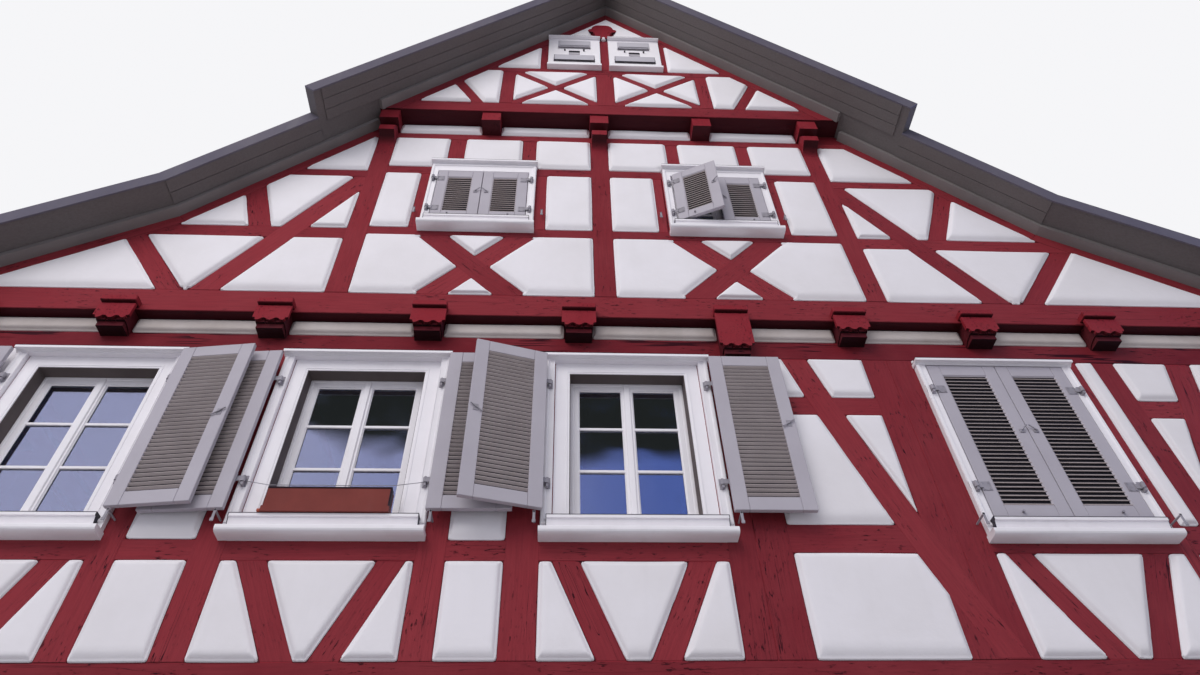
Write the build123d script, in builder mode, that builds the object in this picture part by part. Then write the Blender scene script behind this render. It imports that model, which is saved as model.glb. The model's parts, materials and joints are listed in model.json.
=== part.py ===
"""Half timbered gable house, from ground level up, in millimetres.

The front looks along -Y and +Z is up. The origin is at ground level under the
middle of the house. Heights are above the ground, and places across the front
are measured from the ridge line, to the right as seen from the street.
The back repeats the front, mirrored, and the side walls repeat its timbers.
"""

import math
import os
from collections import namedtuple

from build123d import *

os.makedirs("parts", exist_ok=True)

# Main sizes of the house
HALF_WIDTH = 5350.0
WALL_DEPTH = 9600.0
FRONT = -WALL_DEPTH / 2

# Roof underside: a steep main slope with a flatter kick over the eaves
APEX = 12560.0
MAIN_PITCH = 48.8
KICK_PITCH = 34.0
KICK_X = 4100.0
EAVES_OVERHANG = 500.0
ROOF_THICK = 130.0
EAVES_X = HALF_WIDTH + EAVES_OVERHANG
MAIN_RISE = math.tan(math.radians(MAIN_PITCH))
KICK_RISE = math.tan(math.radians(KICK_PITCH))
KICK_Z = APEX - KICK_X * MAIN_RISE
RIDGE_HALF = 160.0
RIDGE_TALL = 90.0

# How far each storey and roof edge stands out past the first floor wall
GABLE_JETTY = 103.0
TOP_JETTY = 306.0
GROUND_SET_BACK = 30.0
LOW_VERGE = 470.0
HIGH_VERGE = 760.0
VERGE_STEP = 4590.0
VERGE_BOARD = 15.0
VERGE_DRIP = 12.0
FILLET_OUT = 110.0
FILLET_DEEP = 45.0
FILLET_START = 60.0

# Wall thicknesses and plaster
MASONRY = 450.0
TIMBER = 200.0
INFILL_DEPTH = 120.0
INFILL_PROUD = 32.0
INFILL_EDGE = 16.0
NARROWEST_PANEL = 24.0
STRUT_TAIL = 50.0

# Ground floor
PLINTH_TOP = 350.0
FLOOR_THICK = 150.0
GROUND_TOP = 3420.0
DOOR_HALF = 560.0
DOOR_HEAD = 2350.0
DOOR_THICK = 60.0
DOOR_GAP = 4.0
DOOR_PANELS = ((330.0, 1000.0), (1130.0, 2200.0))
DOOR_PANEL_EDGE = 90.0
DOOR_PANEL_PROUD = 16.0

# Heights of the first floor frame
SILL_TOP = 3660.0
LOW_RAIL = (4310.0, 4460.0)
BAY_RAIL = (4375.0, 4590.0)
MID_RAIL = (5570.0, 5750.0)
PLATE_LOW = 6170.0
PLATE_TOP = 6370.0
CORNER_POST = 300.0
BAY_LEFT = 880.0
BAY_RIGHT = 3900.0
BOW_WIDTH = 200.0

# Heights of the gable frame on the first jetty
GABLE_FOOT = 6530.0
GABLE_SILL_TOP = 6790.0
GABLE_RAIL_1 = (7630.0, 7755.0)
GABLE_SIDE_RAIL_1 = (7555.0, 7721.0)
GABLE_RAIL_2 = (8690.0, 8830.0)
GABLE_SIDE_RAIL_2 = (8600.0, 8727.0)
GABLE_PLATE = (9391.0, 9508.0)
RAFTER_BAND = 160.0

# Heights of the top gable frame on the second jetty
TOP_FOOT = 9674.0
TOP_SILL_TOP = 9874.0
TOP_RAIL = (10665.0, 10776.0)
KING_NECK = 200.0
KING_HEAD = (140.0, 285.0)
KING_EAR = 45.0

# Floors above the ground
FIRST_FLOOR_THICK = 180.0
DECK = 40.0
FLOOR_CLEAR = 20.0

# A window: centre, half width of its casing, bottom and top of its leaves, head board
Window = namedtuple("Window", "centre half sill head head_board")
FIRST_WINDOWS = [Window(centre, 640.0, 4600.0, 6080.0, 0.0) for centre in (-4040.0, -2020.0, 0.0, 2980.0)]
GROUND_WINDOWS = [Window(centre, 640.0, 1000.0, 2480.0, 0.0) for centre in (-4040.0, -2020.0, 2980.0)]
GABLE_WINDOWS = [Window(centre, 530.0, 7850.0, 8690.0, 120.0) for centre in (-1335.0, 1023.0)]
SIDE_FIRST = [Window(centre, 640.0, 4600.0, 6080.0, 0.0) for centre in (-2700.0, 0.0, 2700.0)]
SIDE_GROUND = [Window(centre, 640.0, 1000.0, 2480.0, 0.0) for centre in (-2700.0, 2700.0)]

# Boarded lights under the ridge, as centres: each has a flap, a slot and a box let into its boards
TOP_LIGHTS = (-420.0, 323.0)
TOP_LIGHT_HALF = 318.0
LIGHT_CLEAR = 85.0
LIGHT_BACK = -90.0
LIGHT_FRONT = 25.0
LIGHT_RECESS = 30.0
FLAP = (202.0, 0.62, 0.88)
SLOT = (68.0, 0.40, 0.49)
FLAP_BOX = (252.0, 0.12, 0.34)
LIGHT_LEDGE = 40.0
LIGHT_LEDGE_OUT = 70.0
LIGHT_CORNICE = 20.0
LIGHT_EAR = 8.0

# Window casing: a board round the front and a frame set in the wall, with a sill board, a tray over it
# and a cornice
CASING_BOARD = 74.0
CASING_LAP = 80.0
CASING_FRONT = 44.0
INNER_BOARD = 110.0
INNER_FRONT = 5.0
SILL_DROP = 150.0
SILL_OUT = 120.0
SILL_EAR = 10.0
TRAY_TALL = 100.0
TRAY_OUT = 100.0
TRAY_SET_IN = 37.0
CORNICE = 40.0
CORNICE_OUT = 95.0
SASH_BACK = -160.0
SASH_THICK = 45.0
SASH_BOARD = 65.0
MULLION = 80.0
GLASS = 6.0
GLASS_BACK = -140.0

# Shutter leaves and their hinges
LEAF_THICK = 35.0
LEAF_FRONT = 50.0
HINGE_OUT = 70.0
HINGE_INSET = 40.0
LEAF_GAP = 3.0
LEAF_HEAD_CLEAR = 10.0
LEAF_FOOT_CLEAR = 20.0
STILE = 100.0
LEAF_RAIL = 105.0
SLATS = 12
SMALL_SLATS = 7
SLAT_WIDE = 42.0
SLAT_THICK = 8.0
SLAT_LEAN = 40.0
SLAT_TENON = 5.0
PIN_RADIUS = 8.0
PIN_CLEAR = 0.3
HINGE_SIDES = 10
KNUCKLE_RADIUS = 15.0
KNUCKLE_TALL = 40.0
KNUCKLE_REST = 0.5
STRAP_THICK = 8.0
STRAP_LENGTH = 190.0
HINGE_SHARE = 0.18
BRACKET_TALL = 24.0
BRACKET_WIDE = 16.0

# Beams that carry the first jetty: centres, and how far down the head over the bay's post reaches
LOWER_BEAMS = (-5200.0, -4075.0, -2840.0, -1600.0, -380.0, 885.0, 1885.0, 2975.0, 4045.0, 5200.0)
LONG_HEADS = {885.0: 217.0}
BEAM_WIDE = 230.0

# Head of such a beam: a body with a hollowed foot, a wider face plate and a cap board over it
HEAD_WIDE = 280.0
HEAD_OUT = 165.0
HEAD_PLATE = 25.0
HEAD_RISE = 23.0
HEAD_DROP = 60.0
HEAD_HOLLOW = 260.0
CAP_TALL = 60.0
CAP_OUT = 193.0

# Beams that carry the second jetty, and the consoles under every other one
UPPER_BEAMS = (-2410.0, -1320.0, -149.0, 975.0, 2155.0)
UPPER_BEAM_WIDE = 200.0
UPPER_SET_IN = 15.0
CONSOLE_WIDE = 160.0
CONSOLE_OUT = 150.0
CONSOLE_TOP_OUT = 85.0
CONSOLE_DROP = 300.0
CONSOLE_NOSE = (95.0, 185.0)

# Flower box on the second window's sill: a box on a wider base
BOX_HALF = 400.0
BOX_TALL = 190.0
BOX_DEEP = 90.0
BOX_BACK = 20.0
BOX_WALL = 12.0
BASE_TALL = 40.0
BASE_EDGE = 8.0

# How far a cutting shape reaches past what it cuts
OVERCUT = 1.0

FRONT_WALL = Plane(origin=(0, FRONT, 0), x_dir=(1, 0, 0), z_dir=(0, -1, 0))
GABLE_WALL = FRONT_WALL.offset(GABLE_JETTY)
TOP_WALL = FRONT_WALL.offset(TOP_JETTY)
GROUND_WALL = FRONT_WALL.offset(-GROUND_SET_BACK)
LEFT_WALL = Plane(origin=(-HALF_WIDTH, 0, 0), x_dir=(0, -1, 0), z_dir=(-1, 0, 0))
GROUND_SIDE = LEFT_WALL.offset(-GROUND_SET_BACK)


def save(piece, label):
    """Label a finished piece and write it to its own file."""
    piece.label = label
    export_step(piece, f"parts/{label}.step")


def save_pair(piece, name):
    """Write a piece of the front, and its mirror image at the back."""
    save(piece, f"{name}_front")
    save(mirror(piece, about=Plane.XZ), f"{name}_back")


def save_both(piece, name):
    """Write a piece of the front together with its mirror image at the back."""
    with BuildPart() as both:
        add(piece)
        mirror(about=Plane.XZ)
    save(both.part, name)


def save_sides(piece, name):
    """Write a piece of the left side, and its mirror image on the right."""
    save(piece, f"{name}_left")
    save(mirror(piece, about=Plane.YZ), f"{name}_right")


def roof_z(x):
    """Height of the roof's underside at a place across the house."""
    across = abs(x)
    if across <= KICK_X:
        return APEX - across * MAIN_RISE
    return KICK_Z - (across - KICK_X) * KICK_RISE


def roof_x(z):
    """Distance from the ridge line at which the underside has a height."""
    if z >= KICK_Z:
        return (APEX - z) / MAIN_RISE
    return KICK_X + (KICK_Z - z) / KICK_RISE


def rafter_z(x):
    """Height of a rafter's middle line at a place across the house."""
    pitch = MAIN_PITCH if abs(x) <= KICK_X else KICK_PITCH
    return roof_z(x) - RAFTER_BAND / 2 / math.cos(math.radians(pitch))


def slope_band(top, bottom, reach):
    """Corners of a band beside the underside's right slope, at offsets square to it.

    It runs from the ridge line down to a distance from it. Offsets are positive outwards.
    """
    turn = math.radians((MAIN_PITCH + KICK_PITCH) / 2)
    half_turn = math.cos(math.radians((MAIN_PITCH - KICK_PITCH) / 2))
    edges = []
    for offset in (top, bottom):
        lift = offset / math.cos(math.radians(MAIN_PITCH))
        knee = offset / half_turn
        foot_lift = offset / math.cos(math.radians(KICK_PITCH))
        edges.append(
            [
                (0, APEX + lift),
                (KICK_X + knee * math.sin(turn), KICK_Z + knee * math.cos(turn)),
                (reach, roof_z(reach) + foot_lift),
            ]
        )
    return edges[0] + edges[1][::-1]


def main_band(top, bottom, start, end):
    """Corners of a band of the main slope between two distances down the slope from the ridge."""
    pitch = math.radians(MAIN_PITCH)
    down = (math.cos(pitch), -math.sin(pitch))
    out = (math.sin(pitch), math.cos(pitch))
    corners = []
    for along, offset in ((start, top), (end, top), (end, bottom), (start, bottom)):
        corners.append((along * down[0] + offset * out[0], APEX + along * down[1] + offset * out[1]))
    return corners


def mirrored(corners):
    """The same corners on the left of the ridge line."""
    return [(-x, z) for x, z in corners]


def bar(start, end, width):
    """Corners of a straight timber between two points on its middle line."""
    run = Vector(*end) - Vector(*start)
    side = run.rotate(Axis.Z, 90).normalized() * (width / 2)
    corners = (Vector(*start) + side, Vector(*end) + side, Vector(*end) - side, Vector(*start) - side)
    return [(corner.X, corner.Y) for corner in corners]


def strut(start, end, width, tail=STRUT_TAIL):
    """Corners of a leaning timber whose ends run on a little into the rails."""
    run = (Vector(*end) - Vector(*start)).normalized() * tail
    first = Vector(*start) - run
    last = Vector(*end) + run
    return bar((first.X, first.Y), (last.X, last.Y), width)


def upright(centre, width, low, high):
    """Corners of a post."""
    return box(centre - width / 2, centre + width / 2, low, high)


def box(left, right, low, high):
    """Corners of a rectangle."""
    return [(left, low), (right, low), (right, high), (left, high)]


def outline(corners):
    """A flat outline from its corners."""
    with BuildSketch() as shape:
        Polygon(*corners, align=None)
    return shape.sketch


def timber_sketch(limit, timbers, holes, bows=()):
    """One flat lattice of the timbers of a wall, cut to its outline."""
    with BuildSketch() as lattice:
        for corners in timbers:
            Polygon(*corners, align=None)
        for start, middle, end, width in bows:
            with BuildLine():
                ThreePointArc(start, middle, end)
            trace(line_width=width)
        add(limit, mode=Mode.INTERSECT)
        for hole in holes:
            Polygon(*hole, align=None, mode=Mode.SUBTRACT)
    return lattice.sketch


def mean_width(cell):
    """Twice a cell's area over its outline's length."""
    return 2 * cell.area / sum(edge.length for edge in cell.edges())


def panel_sketch(limit, lattice, holes):
    """The cells that the timbers leave in a wall, without slivers."""
    with BuildSketch() as cells:
        add(limit)
        add(lattice, mode=Mode.SUBTRACT)
        for hole in holes:
            Polygon(*hole, align=None, mode=Mode.SUBTRACT)
    return [face for face in cells.sketch.faces() if mean_width(face) > NARROWEST_PANEL]


def slab(plane, sketch, back, front):
    """A flat sketch made solid on a wall, between two depths measured outwards from its face."""
    with BuildPart() as solid:
        with BuildSketch(plane.offset(back)):
            add(sketch)
        extrude(amount=front - back)
    return solid.part


def plaster(plane, cells):
    """Plaster panels that stand a little proud of the timbers, with worn edges."""
    outwards = Axis((0, 0, 0), tuple(plane.z_dir))
    pieces = []
    for cell in cells:
        shortest = min(edge.length for edge in cell.edges())
        with BuildPart() as panel:
            with BuildSketch(plane.offset(-INFILL_DEPTH)):
                add(cell)
            extrude(amount=INFILL_DEPTH + INFILL_PROUD)
            edge_width = min(INFILL_EDGE, shortest / 3, mean_width(cell) / 3)
            chamfer(panel.edges().group_by(outwards)[-1], length=edge_width)
        pieces.append(panel.part)
    with BuildPart() as panels:
        add(pieces)
    return panels.part


def window_hole(window):
    """Corners of the hole in the wall behind a casing."""
    reach = window.half - CASING_LAP
    return box(window.centre - reach, window.centre + reach, window.sill, window.head)


def window_cover(window):
    """Corners of all that a casing covers on the wall's face."""
    top = window.head + window.head_board + CORNICE
    reach = window.half + SILL_EAR
    return box(window.centre - reach, window.centre + reach, window.sill - SILL_DROP, top)


def window_trimmers(window):
    """Corners of the studs and trimmers hidden behind a casing."""
    top = window.head + window.head_board + CORNICE
    left = window.centre - window.half - SILL_EAR
    right = window.centre + window.half + SILL_EAR
    foot = window.sill - SILL_DROP
    stud = CASING_LAP + SILL_EAR
    return [
        box(left, left + stud, foot, top),
        box(right - stud, right, foot, top),
        box(left, right, window.head, top),
        box(left, right, foot, window.sill),
    ]


def casings(groups):
    """Casings of a wall: a board round each window's front and a frame set back behind it."""
    with BuildPart() as frames:
        for plane, windows in groups:
            with BuildSketch(plane):
                for centre, half, sill, head, head_board in windows:
                    inner = half - CASING_BOARD
                    board = box(centre - half, centre + half, sill - TRAY_TALL, head + head_board)
                    clear = box(centre - inner, centre + inner, sill, head)
                    Polygon(*board, align=None)
                    Polygon(*clear, align=None, mode=Mode.SUBTRACT)
            extrude(amount=CASING_FRONT)
            with BuildSketch(plane.offset(-TIMBER)):
                for centre, half, sill, head, head_board in windows:
                    outer = half - CASING_LAP
                    inner = outer - INNER_BOARD
                    Polygon(*box(centre - outer, centre + outer, sill, head), align=None)
                    clear = box(centre - inner, centre + inner, sill + INNER_BOARD / 2, head - INNER_BOARD)
                    Polygon(*clear, align=None, mode=Mode.SUBTRACT)
            extrude(amount=TIMBER + INNER_FRONT)
    return frames.part


def ledges(groups):
    """Sills and cornices of a wall: each sill is a board with a narrower tray over it."""
    with BuildPart() as boards:
        for plane, windows in groups:
            with BuildSketch(plane):
                for centre, half, sill, head, head_board in windows:
                    ear = half + SILL_EAR
                    Polygon(*box(centre - ear, centre + ear, sill - SILL_DROP, sill - TRAY_TALL), align=None)
            extrude(amount=SILL_OUT)
            with BuildSketch(plane.offset(CASING_FRONT)):
                for centre, half, sill, head, head_board in windows:
                    reach = half - TRAY_SET_IN
                    Polygon(*box(centre - reach, centre + reach, sill - TRAY_TALL, sill), align=None)
            extrude(amount=TRAY_OUT - CASING_FRONT)
            with BuildSketch(plane):
                for centre, half, sill, head, head_board in windows:
                    ear = half + SILL_EAR
                    foot = head + head_board
                    Polygon(*box(centre - ear, centre + ear, foot, foot + CORNICE), align=None)
            extrude(amount=CORNICE_OUT)
    return boards.part


def sash_clear(window):
    """Half width, bottom and top of the opening that a sash fills."""
    reach = window.half - CASING_LAP - INNER_BOARD
    return reach, window.sill + INNER_BOARD / 2, window.head - INNER_BOARD


def sashes(groups):
    """Sash frames of a wall, each with a middle post."""
    with BuildPart() as frames:
        for plane, windows in groups:
            with BuildSketch(plane.offset(SASH_BACK)):
                for window in windows:
                    reach, low, high = sash_clear(window)
                    centre = window.centre
                    Polygon(*box(centre - reach, centre + reach, low, high), align=None)
                    for side in (-1, 1):
                        near = centre + side * MULLION / 2
                        far = centre + side * (reach - SASH_BOARD)
                        clear = box(min(near, far), max(near, far), low + SASH_BOARD, high - SASH_BOARD)
                        Polygon(*clear, align=None, mode=Mode.SUBTRACT)
            extrude(amount=SASH_THICK)
    return frames.part


def panes(groups):
    """Glass of a wall, one sheet on each side of a sash's middle post."""
    with BuildPart() as sheets:
        for plane, windows in groups:
            with BuildSketch(plane.offset(GLASS_BACK)):
                for window in windows:
                    reach, low, high = sash_clear(window)
                    for side in (-1, 1):
                        near = window.centre + side * MULLION / 2
                        far = window.centre + side * (reach - SASH_BOARD)
                        sheet = box(min(near, far), max(near, far), low + SASH_BOARD, high - SASH_BOARD)
                        Polygon(*sheet, align=None)
            extrude(amount=GLASS)
    return sheets.part


def hinge_reach(window):
    """Distance from a window's middle to its hinge pins."""
    return window.half - CASING_BOARD + HINGE_INSET - LEAF_GAP * 2


def leaf_height(window):
    """Bottom and top of a window's shutter leaves."""
    return window.sill + LEAF_FOOT_CLEAR, window.head - LEAF_HEAD_CLEAR


def hinge_heights(window):
    """Heights of the middles of a leaf's two knuckles."""
    low, high = leaf_height(window)
    tall = high - low
    return low + tall * HINGE_SHARE, high - tall * HINGE_SHARE


def leaf_plane(window, wall_out, side, angle):
    """Plane of a leaf that is hung on one side (-1 left, 1 right) and stands open by an angle."""
    turn = math.radians(angle)
    hang = -side
    place = (window.centre + side * hinge_reach(window), FRONT - wall_out - HINGE_OUT, 0)
    return Plane(
        origin=place,
        x_dir=(math.cos(turn), -hang * math.sin(turn), 0),
        z_dir=(-hang * math.sin(turn), -math.cos(turn), 0),
    )


def shutter(window, wall_out, side, angle, slat_count):
    """A louvred shutter leaf with its straps and knuckles, standing open by an angle."""
    plane = leaf_plane(window, wall_out, side, angle)
    hang = -side
    low, high = leaf_height(window)
    face = LEAF_FRONT - HINGE_OUT
    near = hang * HINGE_INSET
    far = hang * (hinge_reach(window) - LEAF_GAP)
    field_near = near + hang * STILE
    field_far = far - hang * STILE
    with BuildPart() as leaf:
        with BuildSketch(plane.offset(face - LEAF_THICK)):
            Polygon(*box(min(near, far), max(near, far), low, high), align=None)
            field = box(
                min(field_near, field_far), max(field_near, field_far), low + LEAF_RAIL, high - LEAF_RAIL
            )
            Polygon(*field, align=None, mode=Mode.SUBTRACT)
        extrude(amount=LEAF_THICK)
        spots = []
        pitch = (high - low - 2 * LEAF_RAIL) / slat_count
        for number in range(slat_count):
            height = low + LEAF_RAIL + pitch * (number + 0.5)
            middle = (field_near + field_far) / 2
            spot = Location((middle, height, face - LEAF_THICK / 2), (-SLAT_LEAN, 0, 0))
            spots.append(plane.location * spot)
        with Locations(*spots):
            Box(abs(field_far - field_near) + 2 * SLAT_TENON, SLAT_THICK, SLAT_WIDE)
        with BuildSketch(plane.offset(face)):
            for height in hinge_heights(window):
                end = hang * STRAP_LENGTH
                half = KNUCKLE_TALL / 2
                Polygon(*box(min(0, end), max(0, end), height - half, height + half), align=None)
        extrude(amount=STRAP_THICK)
        for height in hinge_heights(window):
            with BuildSketch(Plane.XY.offset(height - KNUCKLE_TALL / 2)):
                with Locations((plane.origin.X, plane.origin.Y)):
                    RegularPolygon(KNUCKLE_RADIUS, HINGE_SIDES)
            extrude(amount=KNUCKLE_TALL)
            with BuildSketch(Plane.XY.offset(height - KNUCKLE_TALL / 2)):
                with Locations((plane.origin.X, plane.origin.Y)):
                    RegularPolygon(PIN_RADIUS + PIN_CLEAR, HINGE_SIDES, major_radius=False)
            extrude(amount=KNUCKLE_TALL, mode=Mode.SUBTRACT)
    return leaf.part


def hinge_pins(groups):
    """Pins that the leaves turn on, each on an arm that is let into its casing."""
    with BuildPart() as pins:
        for wall_out, windows in groups:
            for window in windows:
                for side in (-1, 1):
                    place = window.centre + side * hinge_reach(window)
                    for height in hinge_heights(window):
                        arm_top = height - KNUCKLE_TALL / 2 - KNUCKLE_REST
                        arm_long = HINGE_OUT + PIN_RADIUS - CASING_FRONT
                        arm_y = FRONT - wall_out - CASING_FRONT - arm_long / 2
                        with Locations((place, arm_y, arm_top - BRACKET_TALL / 2)):
                            Box(BRACKET_WIDE, arm_long, BRACKET_TALL)
                        with BuildSketch(Plane.XY.offset(arm_top)):
                            with Locations((place, FRONT - wall_out - HINGE_OUT)):
                                RegularPolygon(PIN_RADIUS, HINGE_SIDES)
                        extrude(amount=KNUCKLE_TALL + KNUCKLE_REST)
    return pins.part


# Plinth and masonry of the ground floor
outer_x = HALF_WIDTH - GROUND_SET_BACK
outer_y = -FRONT - GROUND_SET_BACK
with BuildPart() as plinth:
    with BuildSketch():
        Rectangle(2 * HALF_WIDTH, WALL_DEPTH)
        Rectangle(2 * (outer_x - MASONRY), 2 * (outer_y - MASONRY), mode=Mode.SUBTRACT)
    extrude(amount=PLINTH_TOP)
    with Locations((0, FRONT + MASONRY / 2, (FLOOR_THICK + PLINTH_TOP) / 2)):
        Box(2 * DOOR_HALF, 2 * MASONRY, PLINTH_TOP - FLOOR_THICK, mode=Mode.SUBTRACT)
save(plinth.part, "plinth")

with BuildPart() as ground_floor:
    with Locations((0, 0, FLOOR_THICK / 2)):
        Box(2 * (outer_x - MASONRY), 2 * (outer_y - MASONRY), FLOOR_THICK)
save(ground_floor.part, "ground_floor")

front_holes = [window_hole(window) for window in GROUND_WINDOWS]
door_hole = box(-DOOR_HALF, DOOR_HALF, PLINTH_TOP, DOOR_HEAD)
for label, holes in (("front", front_holes + [door_hole]), ("back", front_holes)):
    with BuildPart() as masonry:
        with BuildSketch(GROUND_WALL.offset(-MASONRY)):
            Polygon(*box(-outer_x, outer_x, PLINTH_TOP, GROUND_TOP), align=None)
            for hole in holes:
                Polygon(*hole, align=None, mode=Mode.SUBTRACT)
        extrude(amount=MASONRY)
    wall = masonry.part if label == "front" else mirror(masonry.part, about=Plane.XZ)
    save(wall, f"ground_wall_{label}")

with BuildPart() as side_masonry:
    with BuildSketch(GROUND_SIDE.offset(-MASONRY)):
        Polygon(*box(-outer_y + MASONRY, outer_y - MASONRY, PLINTH_TOP, GROUND_TOP), align=None)
        for window in SIDE_GROUND:
            Polygon(*window_hole(window), align=None, mode=Mode.SUBTRACT)
    extrude(amount=MASONRY)
save_sides(side_masonry.part, "ground_wall")

# Entrance door with raised panels, shut
with BuildPart() as door:
    with BuildSketch(GROUND_WALL.offset(-MASONRY / 2)):
        Polygon(
            *box(-DOOR_HALF + DOOR_GAP, DOOR_HALF - DOOR_GAP, FLOOR_THICK, DOOR_HEAD - DOOR_GAP), align=None
        )
    extrude(amount=DOOR_THICK)
    with BuildSketch(GROUND_WALL.offset(-MASONRY / 2 + DOOR_THICK)):
        for side in (-1, 1):
            for low, high in DOOR_PANELS:
                Polygon(*upright(side * DOOR_HALF / 2, DOOR_HALF - 2 * DOOR_PANEL_EDGE, low, high), align=None)
    extrude(amount=DOOR_PANEL_PROUD)
save(door.part, "entrance_door")

# First floor, front and back
first_limit = outline(box(-HALF_WIDTH, HALF_WIDTH, GROUND_TOP, PLATE_TOP))
last_window = FIRST_WINDOWS[-1]
corner_centre = HALF_WIDTH - CORNER_POST / 2
first_timbers = [
    box(-HALF_WIDTH, HALF_WIDTH, GROUND_TOP, SILL_TOP),
    box(-HALF_WIDTH, HALF_WIDTH, PLATE_LOW, PLATE_TOP),
    box(-HALF_WIDTH, BAY_LEFT, *LOW_RAIL),
    box(BAY_LEFT, HALF_WIDTH, *BAY_RAIL),
    box(BAY_LEFT, last_window.centre - last_window.half, *MID_RAIL),
    box(BAY_RIGHT, HALF_WIDTH, *MID_RAIL),
]
FIRST_POSTS = (
    (-3340.0, 180.0),
    (-2710.0, 200.0),
    (-1325.0, 190.0),
    (-750.0, 220.0),
    (675.0, 190.0),
    (885.0, 230.0),
    (2030.0, 200.0),
    (2235.0, 210.0),
    (3670.0, 100.0),
    (3950.0, 180.0),
    (-corner_centre, CORNER_POST),
    (corner_centre, CORNER_POST),
)
for post_centre, post_width in FIRST_POSTS:
    first_timbers.append(upright(post_centre, post_width, SILL_TOP, PLATE_LOW))
FIRST_STRUTS = (
    ((-3605.0, LOW_RAIL[0]), (-3870.0, SILL_TOP)),
    ((-4475.0, LOW_RAIL[0]), (-4210.0, SILL_TOP)),
    ((-2420.0, LOW_RAIL[0]), (-2095.0, SILL_TOP)),
    ((-1560.0, LOW_RAIL[0]), (-1840.0, SILL_TOP)),
    ((-470.0, LOW_RAIL[0]), (-200.0, SILL_TOP)),
    ((405.0, LOW_RAIL[0]), (120.0, SILL_TOP)),
    ((2495.0, BAY_RAIL[0]), (2850.0, SILL_TOP)),
    ((3425.0, BAY_RAIL[0]), (3110.0, SILL_TOP)),
)
for strut_top, strut_foot in FIRST_STRUTS:
    first_timbers.append(strut(strut_top, strut_foot, 160.0))
for window in FIRST_WINDOWS:
    first_timbers += window_trimmers(window)
first_bows = (
    ((1340.0, 6260.0), (1890.0, 4480.0), (2230.0, 3580.0), BOW_WIDTH),
    ((4620.0, 6260.0), (4070.0, 4480.0), (3730.0, 3580.0), BOW_WIDTH),
)
first_holes = [window_hole(window) for window in FIRST_WINDOWS]
first_covers = [window_cover(window) for window in FIRST_WINDOWS]
first_lattice = timber_sketch(first_limit, first_timbers, first_holes, first_bows)
save_pair(slab(FRONT_WALL, first_lattice, -TIMBER, 0), "first_frame")

beam_gaps = []
for left_beam, right_beam in zip(LOWER_BEAMS, LOWER_BEAMS[1:]):
    left_edge = left_beam + BEAM_WIDE / 2
    right_edge = right_beam - BEAM_WIDE / 2
    beam_gaps.append(outline(box(left_edge, right_edge, PLATE_TOP, GABLE_FOOT)))
first_cells = panel_sketch(first_limit, first_lattice, first_covers) + beam_gaps
save_pair(plaster(FRONT_WALL, first_cells), "first_infill")

# First floor, left and right, with the beam under the eaves
side_half = WALL_DEPTH / 2 - TIMBER
side_limit = outline(box(-side_half, side_half, GROUND_TOP, PLATE_TOP))
side_timbers = [
    box(-side_half, side_half, GROUND_TOP, SILL_TOP),
    box(-side_half, side_half, PLATE_LOW, PLATE_TOP),
    box(-side_half, side_half, *LOW_RAIL),
]
SIDE_POSTS = (side_half - 100.0, 3440.0, 1960.0, 740.0)
for post_centre in SIDE_POSTS:
    for side in (-1, 1):
        side_timbers.append(upright(side * post_centre, TIMBER, SILL_TOP, PLATE_LOW))
for side in (-1, 1):
    side_timbers.append(strut((side * 4340.0, PLATE_LOW), (side * 3600.0, LOW_RAIL[1]), 180.0))
    side_timbers.append(strut((side * 1960.0, MID_RAIL[1]), (side * 1250.0, LOW_RAIL[1]), 180.0))
for window in SIDE_FIRST:
    side_timbers += window_trimmers(window)
    for side in (-1, 1):
        strut_top = (window.centre + side * 450.0, LOW_RAIL[0])
        side_timbers.append(strut(strut_top, (window.centre + side * 170.0, SILL_TOP), 160.0))
side_holes = [window_hole(window) for window in SIDE_FIRST]
side_covers = [window_cover(window) for window in SIDE_FIRST]
side_lattice = timber_sketch(side_limit, side_timbers, side_holes)
eaves_profile = [
    (-HALF_WIDTH, GABLE_FOOT),
    (-HALF_WIDTH + TIMBER, GABLE_FOOT),
    (-HALF_WIDTH + TIMBER, roof_z(HALF_WIDTH - TIMBER)),
    (-HALF_WIDTH, roof_z(HALF_WIDTH)),
]
eaves_half = WALL_DEPTH / 2 + GABLE_JETTY - TIMBER
with BuildPart() as side_frame:
    with BuildSketch(LEFT_WALL.offset(-TIMBER)):
        add(side_lattice)
    extrude(amount=TIMBER)
    with BuildSketch(Plane.XZ.offset(-eaves_half)):
        Polygon(*eaves_profile, align=None)
    extrude(amount=2 * eaves_half)
save_sides(side_frame.part, "first_frame")
save_sides(plaster(LEFT_WALL, panel_sketch(side_limit, side_lattice, side_covers)), "first_infill")

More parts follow.
